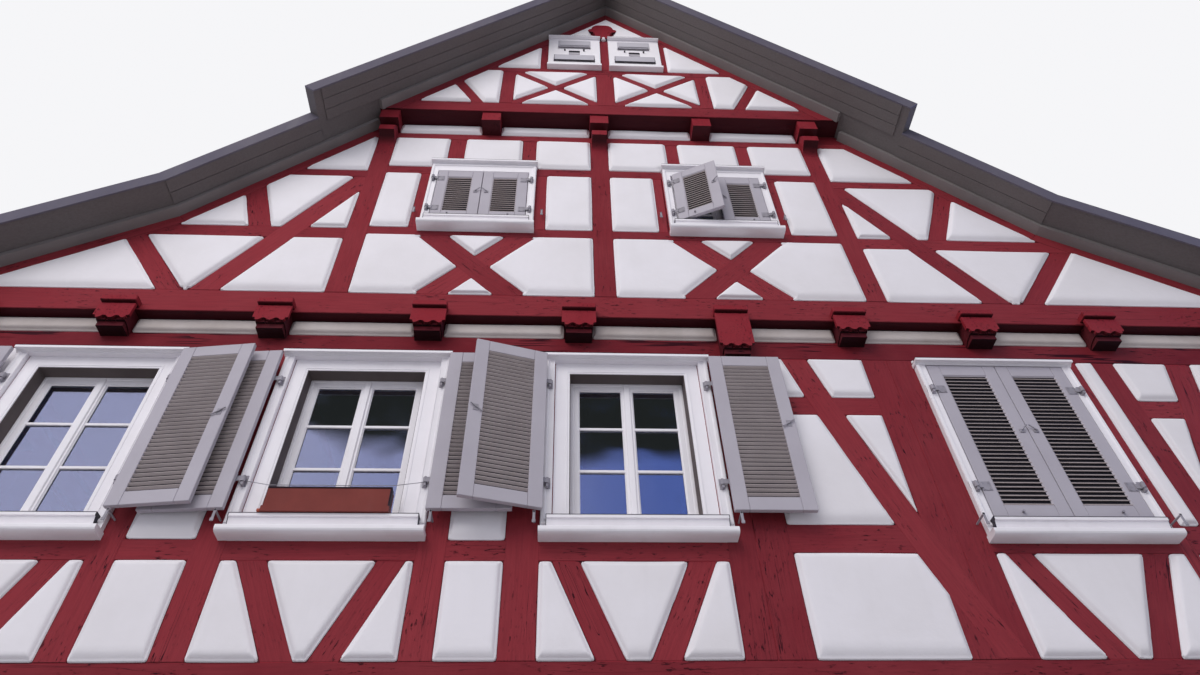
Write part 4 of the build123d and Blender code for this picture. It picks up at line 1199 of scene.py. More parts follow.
def bow(first: Point, second: Point, third: Point, width: float, span: Point) -> Timber:
    """A curved timber through three points, cut off at two heights.

    Args:
        first: Its upper end.
        second: A point on the way.
        third: Its lower end.
        width: Its width.
        span: Lowest and highest height that it keeps.

    Returns:
        The timber.
    """
    a, b, c = Vector(first), Vector(second), Vector(third)
    double = 2 * (a.x * (b.y - c.y) + b.x * (c.y - a.y) + c.x * (a.y - b.y))
    squares = [point.length_squared for point in (a, b, c)]
    centre = Vector(
        (
            (squares[0] * (b.y - c.y) + squares[1] * (c.y - a.y) + squares[2] * (a.y - b.y)) / double,
            (squares[0] * (c.x - b.x) + squares[1] * (a.x - c.x) + squares[2] * (b.x - a.x)) / double,
        )
    )
    reach, turn = a - centre, (a - centre).angle_signed(c - centre)
    points = []
    for number in range(241):
        angle = -turn * number / 240
        point = centre + Vector(
            (
                reach.x * math.cos(angle) - reach.y * math.sin(angle),
                reach.x * math.sin(angle) + reach.y * math.cos(angle),
            )
        )
        if span[0] < point.y < span[1]:
            points.append((point.x, point.y))
    return Timber((*points[:-1:16], points[-1]), width, 0.005)


def under_roof(height: float, inset: float) -> float:
    """How far from the middle a line that runs along the roof's underside meets a height.

    Args:
        height: The height.
        inset: How far below the underside the line runs.

    Returns:
        The distance from the middle.
    """
    main = (APEX - inset / math.cos(MAIN_PITCH) - height) / math.tan(MAIN_PITCH)
    if main <= KICK_X:
        return main
    knee = APEX - KICK_X * math.tan(MAIN_PITCH)
    return KICK_X + (knee - inset / math.cos(KICK_PITCH) - height) / math.tan(KICK_PITCH)


@dataclass(frozen=True)
class Timber:
    """One timber of a wall's frame, in the wall's own coordinates.

    Attributes:
        line: Points of its centre line.
        width: Its width square to that line.
        lift: How far its face stands out of the CAD frame's.
        cuts: Directions in which its two ends are cut.
        tone: How light it is from 0 to 1, or None for a tone of its own.
    """

    line: tuple[Point, ...]
    width: float
    lift: float
    cuts: tuple[Point, Point] = ((1.0, 0.0), (1.0, 0.0))
    tone: float | None = None

    def rings(self) -> list[tuple[Vector, Vector, float]]:
        """Its centre, half of its width and its distance from the start, every few hands along it.

        Returns:
            One ring for each place.
        """
        points = [Vector(point) for point in self.line]
        total = sum((b - a).length for a, b in zip(points, points[1:]))
        found, gone = [], 0.0
        for start, end in zip(points, points[1:]):
            length = (end - start).length
            count = max(1, math.ceil(length / 0.30))
            for number in range(count + (end is points[-1])):
                share = number / count
                along = gone + length * share
                cut = Vector(self.cuts[0]).lerp(Vector(self.cuts[1]), along / total)
                square = abs(cut.x * (end - start).y - cut.y * (end - start).x) / length
                found.append((start.lerp(end, share), cut * (self.width / 2 / square), along))
            gone += length
        return found


class TimberLayer:
    """The frame's timbers one by one, each with a grain and a tone of its own, over the CAD frames."""

    edge = 0.005
    sunk = 0.006
    filler_middle = 9.591
    filler_tone = -0.4

    def __init__(self, shop: Workshop, side: Side) -> None:
        """Keep the side and seed the timbers' small differences.

        Args:
            shop: The frame and the palette.
            side: Side of the house.
        """
        self.shop = shop
        self.side = side
        self.random = random.Random(len(side.value) * 7)

    def build(self) -> None:
        """Build every timber of the side."""
        shape = bmesh.new()
        if self.side in (Side.FRONT, Side.BACK):
            for out, timbers in (
                (0.0, self.first_floor()),
                (GABLE_JETTY, self.gable()),
                (TOP_JETTY, self.top_gable()),
            ):
                for timber in timbers:
                    self.add(shape, timber, out)
        else:
            for timber in self.side_wall():
                self.add(shape, timber, 0.0)
        self.shop.deliver(shape, f"timbers_{self.side.value}", TIMBER_OWN, matrix=self.side.matrix())

    @staticmethod
    def first_floor() -> list[Timber]:
        """The lattice of the first floor's front.

        Returns:
            The timbers.
        """
        found = [
            # The lowest beam gets a darker tone, and the wall plate under the gable's jetty the darkest,
            # which is painted shade of the jetty.
            rail(-5.35, 5.35, 3.42, 3.66, 0.003, 0.3),
            rail(-5.35, 5.35, 6.17, 6.37, 0.003, 0.0),
            rail(-5.35, 0.88, 4.31, 4.46),
            rail(0.88, 5.35, 4.375, 4.59),
            rail(0.88, 2.34, 5.57, 5.75),
            rail(3.90, 5.35, 5.57, 5.75),
        ]
        posts = (
            (-5.2, 0.3), (-3.34, 0.18), (-2.71, 0.2), (-1.325, 0.19), (-0.75, 0.22), (0.675, 0.19),
            (0.885, 0.23), (2.03, 0.2), (2.235, 0.21), (3.67, 0.1), (3.95, 0.18), (5.2, 0.3),
        )
        for number, (x, wide) in enumerate(posts):
            found.append(strut((x, FIRST_LOW), (x, FIRST_HIGH), wide, 0.004 + 0.0002 * (number % 2)))
        feet = (
            (-3.605, -3.87), (-4.475, -4.21), (-2.42, -2.095), (-1.56, -1.84), (-0.47, -0.2), (0.405, 0.12),
        )
        found += [strut((top, 4.309), (foot, FIRST_LOW), 0.16) for top, foot in feet]
        for top, foot in ((2.495, 2.85), (3.425, 3.11)):
            found.append(strut((top, 4.374), (foot, FIRST_LOW), 0.16))
        span = (3.663, 6.167)
        found.append(bow((1.34, 6.26), (1.89, 4.48), (2.23, 3.58), 0.2, span))
        found.append(bow((4.62, 6.26), (4.07, 4.48), (3.73, 3.58), 0.2, span))
        return found

    def gable(self) -> list[Timber]:
        """The lattice of the gable, up to the plate under its top.

        Returns:
            The timbers.
        """
        slopes = {hand: (-math.cos(MAIN_PITCH) * hand, math.sin(MAIN_PITCH)) for hand in (-1, 1)}
        found = [rail(-5.35, 5.35, 6.53, 6.79, 0.003), self.to_rafters(9.391, 9.508, 0.003)]
        found += [rail(-2.42, 2.2, 7.63, 7.755), rail(-2.42, 2.2, 8.69, 8.83)]
        for low, high in ((7.555, 7.721), (8.6, 8.727)):
            middle = (low + high) / 2
            for hand, inner in ((-1, -2.42), (1, 2.2)):
                line = ((inner, middle), (hand * under_roof(middle, 0.12), middle))
                found.append(Timber(line, high - low, 0.0024, ((0.0, 1.0), slopes[hand])))
        middle = self.filler_middle
        for hand, inner in ((-1, -2.5115), (1, 2.2565)):
            line = ((inner, middle), (hand * under_roof(middle, 0.004), middle))
            found.append(Timber(line, 0.165, 0.0024, ((0.0, 1.0), slopes[hand]), self.filler_tone))
        for x, wide in ((-2.42, 0.19), (-0.148, 0.185)):
            found.append(strut((x, GABLE_LOW), (x, GABLE_HIGH), wide, 0.004))
        found.append(strut((2.155, GABLE_HIGH), (2.209, GABLE_LOW), 0.18, 0.004))
        for low, high, posts in (
            (7.7565, 8.6885, ((-1.915, 0.097), (-0.744, 0.098), (0.432, 0.087), (1.604, 0.088))),
            (8.8315, GABLE_HIGH, ((-1.657, 0.166), (-0.893, 0.142), (0.637, 0.127), (1.406, 0.132))),
        ):
            found += [strut((x, low), (x, high), wide, 0.0015) for x, wide in posts]
        leaning = (
            (-1.725, -0.959, 0.0016), (-0.91, -1.642, 0.001), (0.613, 1.37, 0.001), (1.418, 0.642, 0.0016),
        )
        found += [strut((top, 7.6285), (foot, GABLE_LOW), 0.21, lift) for top, foot, lift in leaning]
        found.append(strut((-2.495, 8.5985), (-3.511, GABLE_LOW), 0.215, 0.0032))
        found.append(strut((2.23, 8.5985), (3.284, GABLE_LOW), 0.215, 0.0032))
        for top, foot, height, width in (
            (-3.536, -3.307, 7.7225, 0.19), (-4.385, -3.785, GABLE_LOW, 0.165),
            (3.398, 3.054, 7.7225, 0.16), (4.273, 3.591, GABLE_LOW, 0.155),
        ):
            found.append(self.to_rafter(top, (foot, height), width))
        return found + self.rafters(9.508, True)

    def top_gable(self) -> list[Timber]:
        """The lattice of the gable's top.

        Returns:
            The timbers.
        """
        found = [self.to_rafters(9.674, 9.874, 0.003), self.to_rafters(10.665, 10.776, 0.002)]
        for left, right in ((-1.253, -1.109), (-0.16, 0.04), (1.006, 1.146)):
            middle = (left + right) / 2
            found.append(strut((middle, TOP_LOW), (middle, TOP_MIDDLE), right - left, 0.0035))
        for left, right in ((-1.109, -0.16), (0.04, 1.006)):
            found.append(strut((left + 0.02, TOP_LOW), (right - 0.02, TOP_MIDDLE), 0.1, 0.0022))
            found.append(strut((right - 0.02, TOP_LOW), (left + 0.02, TOP_MIDDLE), 0.1, 0.001))
        found.append(self.to_rafter(-1.773, (-1.49, TOP_LOW), 0.11))
        found.append(self.to_rafter(1.708, (1.439, TOP_LOW), 0.11))
        for x, wide, lift in ((-0.78, 0.084, 0.001), (0.674, 0.066, 0.001), (-0.0485, 0.107, 0.002)):
            found.append(strut((x, LIGHT_LOW), (x, LIGHT_HIGH), wide, lift))
        return found + self.rafters(9.674, False)

    @staticmethod
    def side_wall() -> list[Timber]:
        """The lattice of a side wall's first floor.

        Returns:
            The timbers.
        """
        found = [
            # The lowest beam gets a darker tone, and the wall plate the darkest, the same painted shade as
            # on the front.
            rail(-4.6, 4.6, 3.42, 3.66, 0.003, 0.3),
            rail(-4.6, 4.6, 6.17, 6.37, 0.003, 0.0),
            rail(-4.6, 4.6, 4.31, 4.46),
        ]
        for hand in (-1, 1):
            for x in (4.5, 3.44, 1.96, 0.74):
                found.append(strut((hand * x, FIRST_LOW), (hand * x, FIRST_HIGH), 0.2, 0.004))
            found.append(strut((hand * 4.34, FIRST_HIGH), (hand * 3.6, 4.4615), 0.18))
            for centre in (-2.7, 0.0, 2.7):
                found.append(strut((centre + hand * 0.45, 4.3085), (centre + hand * 0.17, FIRST_LOW), 0.16))
        return found

    @staticmethod
    def to_rafters(low: float, high: float, lift: float) -> Timber:
        """A level timber that ends in both rafters.

        Args:
            low: Its lower edge.
            high: Its upper edge.
            lift: How far its face stands out.

        Returns:
            The timber.
        """
        middle = (low + high) / 2
        reach = under_roof(middle, 0.09)
        across, up = math.cos(MAIN_PITCH), math.sin(MAIN_PITCH)
        return Timber(((-reach, middle), (reach, middle)), high - low, lift, ((across, up), (-across, up)))

    @staticmethod
    def to_rafter(top: float, foot: Point, width: float) -> Timber:
        """A leaning timber whose upper end is cut along a rafter.

        Args:
            top: Where its middle meets the rafter's lower edge.
            foot: Middle of its lower end.
            width: Its width.

        Returns:
            The timber.
        """
        main = abs(top) <= KICK_X
        pitch = MAIN_PITCH if main else KICK_PITCH
        under = APEX - abs(top) * math.tan(MAIN_PITCH)
        if not main:
            under = APEX - KICK_X * math.tan(MAIN_PITCH) - (abs(top) - KICK_X) * math.tan(KICK_PITCH)
        hand = 1.0 if top > 0 else -1.0
        start = Vector((top, under - 0.10 / math.cos(pitch)))
        cut = (math.cos(pitch), -hand * math.sin(pitch))
        return Timber(((start.x, start.y), foot), width, 0.001, (cut, (1.0, 0.0)))

    @staticmethod
    def rafters(low: float, kicked: bool) -> list[Timber]:
        """The rafters along the roof's underside, above or below a height.

        Args:
            low: The height.
            kicked: Whether they are the lower ones, with the kick at the eaves.

        Returns:
            The timbers.
        """
        half = 0.080
        found = []
        for hand in (-1, 1):
            if not kicked:
                top = (0.0, APEX - half / math.cos(MAIN_PITCH))
                foot = (hand * under_roof(low, half), low)
                found.append(Timber((top, foot), 2 * half, 0.006, ((0.0, 1.0), (hand * 1.0, 0.0))))
                continue
            turn = (MAIN_PITCH + KICK_PITCH) / 2
            knee_z = APEX - KICK_X * math.tan(MAIN_PITCH)
            back = half / math.cos((MAIN_PITCH - KICK_PITCH) / 2)
            knee = (hand * (KICK_X - back * math.sin(turn)), knee_z - back * math.cos(turn))
            mitre = (hand * math.sin(turn), math.cos(turn))
            top = (hand * under_roof(low, half), low)
            foot_z = knee_z - (5.35 - KICK_X) * math.tan(KICK_PITCH) - half / math.cos(KICK_PITCH)
            found.append(Timber((top, knee), 2 * half, 0.006, ((hand * 1.0, 0.0), mitre)))
            found.append(Timber((knee, (hand * 5.35, foot_z)), 2 * half, 0.006, (mitre, (0.0, 1.0))))
        return found

    def add(self, shape: Shape, timber: Timber, out: float) -> None:
        """Add one timber, with chamfered edges and ends and slightly wavy sides.

        Args:
            shape: Bmesh that it is added to.
            timber: The timber.
            out: How far its wall stands out past the first floor's.
        """
        places, tones = shape.verts.layers.float_vector, shape.verts.layers.float
        place = places.get(TIMBER_PLACE) or places.new(TIMBER_PLACE)
        tone = tones.get(TIMBER_TONE) or tones.new(TIMBER_TONE)
        shade = self.random.uniform(0.35, 1.0) if timber.tone is None else timber.tone
        seed = self.random.uniform(0, 60)
        rings = timber.rings()
        total = rings[-1][2]
        stations = [(*rings[0], True), (*self.moved(rings, 0), False)]
        stations += [(*ring, False) for ring in rings[1:-1]]
        stations += [(*self.moved(rings, -1), False), (*rings[-1], True)]
        loops = []
        for centre, half, along, end in stations:
            length = half.length
            sway = 0.003 * noise.noise(Vector((along * 2.3 + seed, seed, 0)))
            swell = 0.002 * noise.noise(Vector((along * 3.1, seed, 4.0)))
            half = half * (1 + swell / length)
            centre = centre + half.normalized() * (sway if 0.0 < along < total else 0.0)
            inner = half * (1 - self.edge / length)
            low, high = out + timber.lift - self.edge, out + timber.lift
            face = low + 0.001 if end else high
            back = out - self.sunk
            points = ((half, back), (half, low), (inner, face), (-inner, face), (-half, low), (-half, back))
            loop = []
            for offset, depth in points:
                spot = centre + offset
                vertex = shape.verts.new((spot.x, spot.y, depth))
                across = length if offset.dot(half) > 0 else -length
                vertex[place] = (along + seed, across + seed * 0.37, depth)
                vertex[tone] = shade
                loop.append(vertex)
            loops.append(loop)
        before, after = rings[0], rings[-1]
        run = after[0] - before[0]
        turned = before[1].x * run.y - before[1].y * run.x < 0
        for first, second in zip(loops, loops[1:]):
            for number in range(5):
                quad = (first[number], first[number + 1], second[number + 1], second[number])
                shape.faces.new(tuple(reversed(quad)) if turned else quad)
        for loop in (loops[0], loops[-1]):
            shape.faces.new(loop)

    def moved(self, rings: list[tuple[Vector, Vector, float]], number: int) -> tuple[Vector, Vector, float]:
        """The place of a timber's end, moved in by the width of its chamfer.

        Args:
            rings: Its rings.
            number: 0 for the start and -1 for the end.

        Returns:
            The moved ring.
        """
        centre, half, along = rings[number]
        other = rings[1] if number == 0 else rings[-2]
        share = self.edge / (other[0] - centre).length
        return centre.lerp(other[0], share), half.lerp(other[1], share), along + (other[2] - along) * share


class BeamHeads:
    """The carved ends of the beams that carry the gable."""

    centres = (-5.2, -4.075, -2.84, -1.6, -0.38, 0.885, 1.885, 2.975, 4.045, 5.2)
    long_head = {0.885: 0.217}
    foot = PLATE_TOP
    top = 6.553
    body_out = 0.139
    plate_thick = 0.026
    plate_edge = (
        (0.140, 0.032), (0.118, 0.026), (0.114, 0.008), (0.105, 0.0), (0.092, 0.0), (0.080, 0.008),
        (0.066, 0.022), (0.050, 0.026), (0.034, 0.021), (0.018, 0.005), (0.0, -0.001),
    )

    def __init__(self, shop: Workshop) -> None:
        """Keep the workshop."""
        self.shop = shop

    def build(self) -> None:
        """Build the heads of the front and the back, and the plain beams between them."""
        whole = bmesh.new()
        dark = bmesh.new()
        for side in (Side.FRONT, Side.BACK):
            heads, hollows = bmesh.new(), bmesh.new()
            for centre in self.centres:
                self.head(heads, hollows, centre, self.foot - self.long_head.get(centre, 0.0))
            gather(heads, whole, side.matrix())
            gather(hollows, dark, side.matrix())
        for centre in self.centres:
            add_block(whole, (centre - 0.115, -4.7, self.foot), (centre + 0.115, 4.7, 6.530))
        self.shop.deliver(whole, "beam_heads", TIMBER_DEEP, replaces=("lower_beams",))
        self.shop.deliver(dark, "beam_head_hollows", TIMBER_SHADED)

    def head(self, shape: Shape, hollow: Shape, centre: float, foot: float) -> None:
        """One head: a cap board, a plate with a scalloped foot and a fluted body.

        Args:
            shape: Bmesh of the lit parts.
            hollow: Bmesh of the body behind the plate.
            centre: Its middle along the wall.
            foot: Its lower end.
        """
        add_block(shape, (centre - 0.141, 6.5535, 0.103), (centre + 0.141, 6.613, 0.193), 0.006)
        edge = [*self.plate_edge, *((-x, y) for x, y in reversed(self.plate_edge[:-1]))]
        tall = self.top - 0.012 - foot
        corners = [(0.140, tall), *edge, (-0.140, tall)]
        add_board(shape, [(centre + x, foot + y) for x, y in corners], self.body_out, self.plate_thick)
        profile = [(-0.10, self.top - foot), (-0.10, -0.060), (0.0, -0.060)]
        for number in range(1, 7):
            angle = math.pi / 2 * number / 6
            profile.append((self.body_out * (1 - math.cos(angle)), -0.060 + 0.060 * math.sin(angle)))
        profile.append((self.body_out, self.top - foot))
        for number, (left, right) in enumerate(((-0.112, -0.042), (-0.036, 0.036), (0.042, 0.112))):
            inset = 0.004 if number == 1 else 0.0
            shifted = tuple((deep - inset, high) for deep, high in profile)
            add_profile(hollow, shifted, (centre + left, centre + right), (0.0, foot))
        add_block(hollow, (centre - 0.104, foot - 0.048, -0.10), (centre + 0.104, self.top, 0.118))


@dataclass(frozen=True)
class Corner:
    """A rounded corner of a plaster panel.

    Attributes:
        tip: Where its two edges would meet.
        inwards: Unit direction from the tip into the panel.
        mitre: Unit direction of the line in which the two bevels meet.
        radius: Radius of the rounding.
        centre: Middle of the rounding's circle.
        reach: How far from the tip, along each edge, the rounding starts.
    """

    tip: Vector
    inwards: Vector
    mitre: Vector
    radius: float
    centre: Vector
    reach: float


class PanelOutline:
    """The outline of a plaster panel, with its corners rounded.

    Attributes:
        points: Its sharp corners, anticlockwise.
        edges: Start, end and inward direction of each edge, and how wide its bevel is beside a side edge's.
        corners: The rounding of each corner that points outwards.
        width: Its mean width.
    """

    largest_radius = 0.021
    longest_reach = 0.036
    foot_factor = 2.6

    def __init__(self, points: list[Vector]) -> None:
        """Work out the width, the edges and the rounded corners.

        Args:
            points: Its sharp corners, anticlockwise.
        """
        self.points = points
        self.edges = []
        pairs = list(zip(points, points[1:] + points[:1]))
        length = sum((end - start).length for start, end in pairs)
        area = sum(start.x * end.y - end.x * start.y for start, end in pairs) / 2
        self.width = 2 * abs(area) / length
        for start, end in pairs:
            along = (end - start).normalized()
            inwards = Vector((-along.y, along.x))
            lowness = max(0.0, inwards.y - 0.35) / 0.65
            factor = 1.0 + (self.foot_factor - 1.0) * lowness
            self.edges.append((start, end, inwards, min(factor, max(1.0, self.width * 8.0))))
        self.corners = [corner for corner in map(self._corner, range(len(points))) if corner]

    def _corner(self, number: int) -> Corner | None:
        """The rounding of one corner.

        Args:
            number: Place of the corner in the outline.

        Returns:
            The rounding, or None where the corner is blunt or points inwards.
        """
        tip = self.points[number]
        back = (self.points[number - 1] - tip).normalized()
        ahead = (self.points[(number + 1) % len(self.points)] - tip).normalized()
        turn = (-back).cross(ahead)
        angle = back.angle(ahead)
        if turn <= 0.0 or angle > math.radians(155):
            return None
        half = math.tan(angle / 2)
        reach = min(self.longest_reach, self.largest_radius / half, self.width * 0.3)
        radius = reach * half
        inwards = (back + ahead).normalized()
        mitre = (ahead * self.edges[number - 1][3] + back * self.edges[number][3]).normalized()
        return Corner(tip, inwards, mitre, radius, tip + inwards * (radius / math.sin(angle / 2)), reach)

    def depth_inside(self, place: Vector) -> float:
        """How far a place lies inside the rounded outline, shortened beside edges with a wide bevel.

        Args:
            place: The place in the wall's own coordinates.

        Returns:
            The depth.
        """
        nearest = 9.0
        for start, end, _, factor in self.edges:
            run = end - start
            share = max(0.0, min(1.0, (place - start).dot(run) / run.length_squared))
            away = (place - start - run * share).length
            lip = PlasterPanels.lip_end
            nearest = min(nearest, away if away < lip else lip + (away - lip) / factor)
        for corner in self.corners:
            away = place - corner.tip
            if away.length < (corner.centre - corner.tip).length and away.dot(corner.inwards) < corner.reach:
                side = (place - corner.centre).dot(corner.inwards)
                if side < 0.0 and self._beside(place, corner):
                    nearest = min(nearest, corner.radius - (place - corner.centre).length)
        return nearest

    @staticmethod
    def _beside(place: Vector, corner: Corner) -> bool:
        """Whether a place lies in the wedge between a rounding's two ends.

        Args:
            place: The place in the wall's own coordinates.
            corner: The rounding.

        Returns:
            True inside the wedge.
        """
        half_angle = math.atan2(corner.reach, corner.radius)
        from_centre = place - corner.centre
        if from_centre.length < 1e-6:
            return True
        return from_centre.angle(-corner.inwards) <= half_angle + 1e-3


class PlasterPanels:
    """Pillowed plaster between the timbers, shaped from the outlines of the CAD panels."""

    bevel = 0.024
    gap = 0.004
    lip_end = 0.013
    lip_high = 0.010
    buried = 0.012
    proud = 0.032
    grid = 0.12

    def __init__(self, shop: Workshop, node: str, side: Side) -> None:
        """Keep the CAD node and its side.

        Args:
            shop: The frame and the palette.
            node: The CAD node.
            side: Side of the house.
        """
        self.shop = shop
        self.node = node
        self.side = side

    def build(self) -> None:
        """Build the pillows and the painted beds behind them."""
        source = merged_copy(self.shop.frame["nodes"][self.node], self.side.matrix())
        pillows = bpy.data.meshes.new(f"{self.node}_gathered")
        beds = bmesh.new()
        gathered = bmesh.new()
        shaded = bmesh.new()
        for group in islands(source):
            points, front = self.outline(group)
            if len(points) < 3:
                continue
            level = front - self.proud
            beds.faces.new([beds.verts.new((point.x, point.y, level - 0.003)) for point in points])
            pillow = self.pillow(PanelOutline(points), level)
            pillow.to_mesh(pillows)
            pillow.free()
            heights = [point.y for point in points]
            under_jetty = min(heights) > PLATE_TOP - 0.01 and max(heights) < STRIP_TOP
            (shaded if under_jetty else gathered).from_mesh(pillows)
            pillows.clear_geometry()
        source.free()
        bpy.data.meshes.remove(pillows)
        matrix = self.side.matrix()
        self.shop.deliver(
            gathered, f"{self.node}_pillows", PLASTER, matrix=matrix, smooth=True, replaces=(self.node,)
        )
        if shaded.faces:
            self.shop.deliver(shaded, f"{self.node}_strips", PLASTER_SHADED, matrix=matrix, smooth=True)
        else:
            shaded.free()
        self.shop.deliver(beds, f"{self.node}_beds", TIMBER_SHADED, matrix=matrix)

    @staticmethod
    def outline(group: list[Vertex]) -> tuple[list[Vector], float]:
        """A CAD panel's outline at its back, and the depth of its front.

        Args:
            group: The panel's vertices, in its wall's own coordinates.

        Returns:
            The corners in order, without those on straight runs, and the front's depth.
        """
        faces = unique(face for vertex in group for face in vertex.link_faces if face.normal.z < -0.9)
        front = max(vertex.co.z for vertex in group)
        following = {}
        for face in faces:
            for loop in face.loops:
                if sum(other in faces for other in loop.edge.link_faces) == 1:
                    following[loop.vert] = loop.link_loop_next.vert
        if not following:
            return [], front
        chain = [next(iter(following))]
        while following[chain[-1]] is not chain[0] and len(chain) <= len(following):
            chain.append(following[chain[-1]])
        points = [vertex.co.xy for vertex in reversed(chain)]
        kept = []
        for number, point in enumerate(points):
            before = point - points[number - 1]
            after = points[(number + 1) % len(points)] - point
            if before.length > 1e-6 and after.length > 1e-6 and before.angle(after) > 0.03:
                kept.append(point)
        return kept, front

    def pillow(self, outline: PanelOutline, level: float) -> Shape:
        """One pillow, cut along its edges and corners and then raised.

        Args:
            outline: Its rounded outline.
            level: Depth of the timbers' face beside it.

        Returns:
            A new bmesh.
        """
        shape = bmesh.new()
        shape.faces.new([shape.verts.new((point.x, point.y, 0.0)) for point in outline.points])
        bevel = min(self.bevel, outline.width * 0.16)
        rise = self.gap + 0.0015
        for start, _, inwards, factor in outline.edges:
            slope = [self.lip_end + bevel * share * factor for share in (0.25, 0.55, 1.0, 1.6)]
            for depth in (self.gap, rise, self.lip_end, *slope):
                self.cut(shape, start + inwards * depth, inwards)
        for corner in outline.corners:
            near = (corner.centre - corner.tip).length - corner.radius
            for share in (0.0, 0.3, 0.9):
                depth = near + share * corner.radius
                self.cut(shape, corner.tip + corner.inwards * depth, corner.inwards, corner)
            self.cut(shape, corner.tip, Vector((-corner.mitre.y, corner.mitre.x)), corner, 0.14)
        self.cut_grid(shape, outline)
        for vertex in shape.verts:
            inside = outline.depth_inside(vertex.co.xy)
            vertex.co.z = level + self.height(inside, bevel)
            sway = noise.noise_vector(vertex.co * 1.9)
            if inside > rise:
                uneven = 0.0045 * noise.noise(vertex.co * 2.6) + 0.0012 * noise.noise(vertex.co * 9.0)
                vertex.co.z += uneven * min(1.0, inside / 0.06)
            vertex.co.x += 0.005 * sway.x
            vertex.co.y += 0.005 * sway.y
        bmesh.ops.recalc_face_normals(shape, faces=shape.faces)
        if sum(face.normal.z for face in shape.faces) < 0:
            bmesh.ops.reverse_faces(shape, faces=shape.faces)
        return shape

    def height(self, inside: float, bevel: float) -> float:
        """Height of a pillow at a distance inside its outline.

        Args:
            inside: The distance.
            bevel: Width of its bevel beside a side edge.

        Returns:
            Height above the timbers' face.
        """
        rise = self.gap + 0.0015
        if inside <= self.gap:
            return -self.buried
        if inside <= rise:
            return self.lip_high - 0.003
        if inside <= self.lip_end:
            return self.lip_high
        share = min(1.0, (inside - self.lip_end) / bevel)
        eased = share * (2.0 - share) * 0.55 + share * share * (3.0 - 2.0 * share) * 0.45
        fuller = 0.003 * min(1.0, max(0.0, inside - self.lip_end - bevel) / 0.06)
        return self.lip_high + (self.proud - self.lip_high) * eased + fuller

    @staticmethod
    def cut(
        shape: Shape, place: Vector, normal: Vector, corner: Corner | None = None, limit: float = 0.0
    ) -> None:
        """Cut a flat shape along a line, near one corner only if that is given.

        Args:
            shape: The flat shape.
            place: A point of the line.
            normal: Direction square to the line.
            corner: The corner near which it is cut.
            limit: How far from the corner's tip it is cut, or 0 for the rounding only.
        """
        faces = shape.faces[:]
        if corner is not None:
            near = limit or corner.reach * 1.6 + 0.01
            faces = [face for face in faces if any((v.co.xy - corner.tip).length < near for v in face.verts)]
        edges = unique(edge for face in faces for edge in face.edges)
        verts = unique(vertex for face in faces for vertex in face.verts)
        bmesh.ops.bisect_plane(
            shape,
            geom=[*verts, *edges, *faces],
            dist=0.0004,
            plane_co=(place.x, place.y, 0.0),
            plane_no=(normal.x, normal.y, 0.0),
        )

    def cut_grid(self, shape: Shape, outline: PanelOutline) -> None:
        """Cut the middle of a panel into a coarse grid, so that it can be made uneven.

        Args:
            shape: The flat shape.
            outline: The panel's outline.
        """
        for axis in (0, 1):
            values = [point[axis] for point in outline.points]
            low, high = min(values), max(values)
            count = int((high - low) / self.grid)
            normal = Vector((1.0 - axis, axis))
            for number in range(1, count):
                self.cut(shape, normal * (low + (high - low) * number / count), normal)


@dataclass(frozen=True)
class Leaf:
    """A shutter leaf as it hangs.

    Attributes:
        node: Its CAD node.
        pin_x: Place of its pins across the front.
        jetty: How far its wall stands out.
        hand: -1 where it hangs on the left and 1 on the right.
        angle: How far it stands open, in degrees.
        foot: Bottom of the leaf.
        tall: Its height.
        wide: Distance from the pins to its free edge.
        body: CAD body that it rides on.
    """

    node: str
    pin_x: float
    jetty: float
    hand: int
    angle: float
    foot: float
    tall: float
    wide: float
    body: str

    def matrix(self) -> Matrix:
        """From the leaf's own coordinates, pins at the origin and the free edge along +X, to the frame's.

        Returns:
            The matrix.
        """
        turn = math.radians(self.angle)
        hang = -self.hand
        across = Vector((math.cos(turn), -hang * math.sin(turn), 0)) * hang
        out = Vector((-hang * math.sin(turn), -math.cos(turn), 0))
        place = Vector((self.pin_x, -(HALF_DEPTH + self.jetty + HINGE_OUT), self.foot))
        matrix = Matrix.Identity(4)
        matrix.col[0][:3] = across
        matrix.col[1][:3] = (0, 0, 1)
        matrix.col[2][:3] = out
        matrix.col[3][:3] = place
        return matrix


HINGE_OUT = 0.070
LEAF_FACE = -0.020
LEAF_THICK = 0.035
LEAF_MIDDLE = LEAF_FACE - LEAF_THICK / 2
HINGE_INSET = 0.040
HINGE_SHARES = (0.18, 0.82)
LATCH_SHARE = 0.52


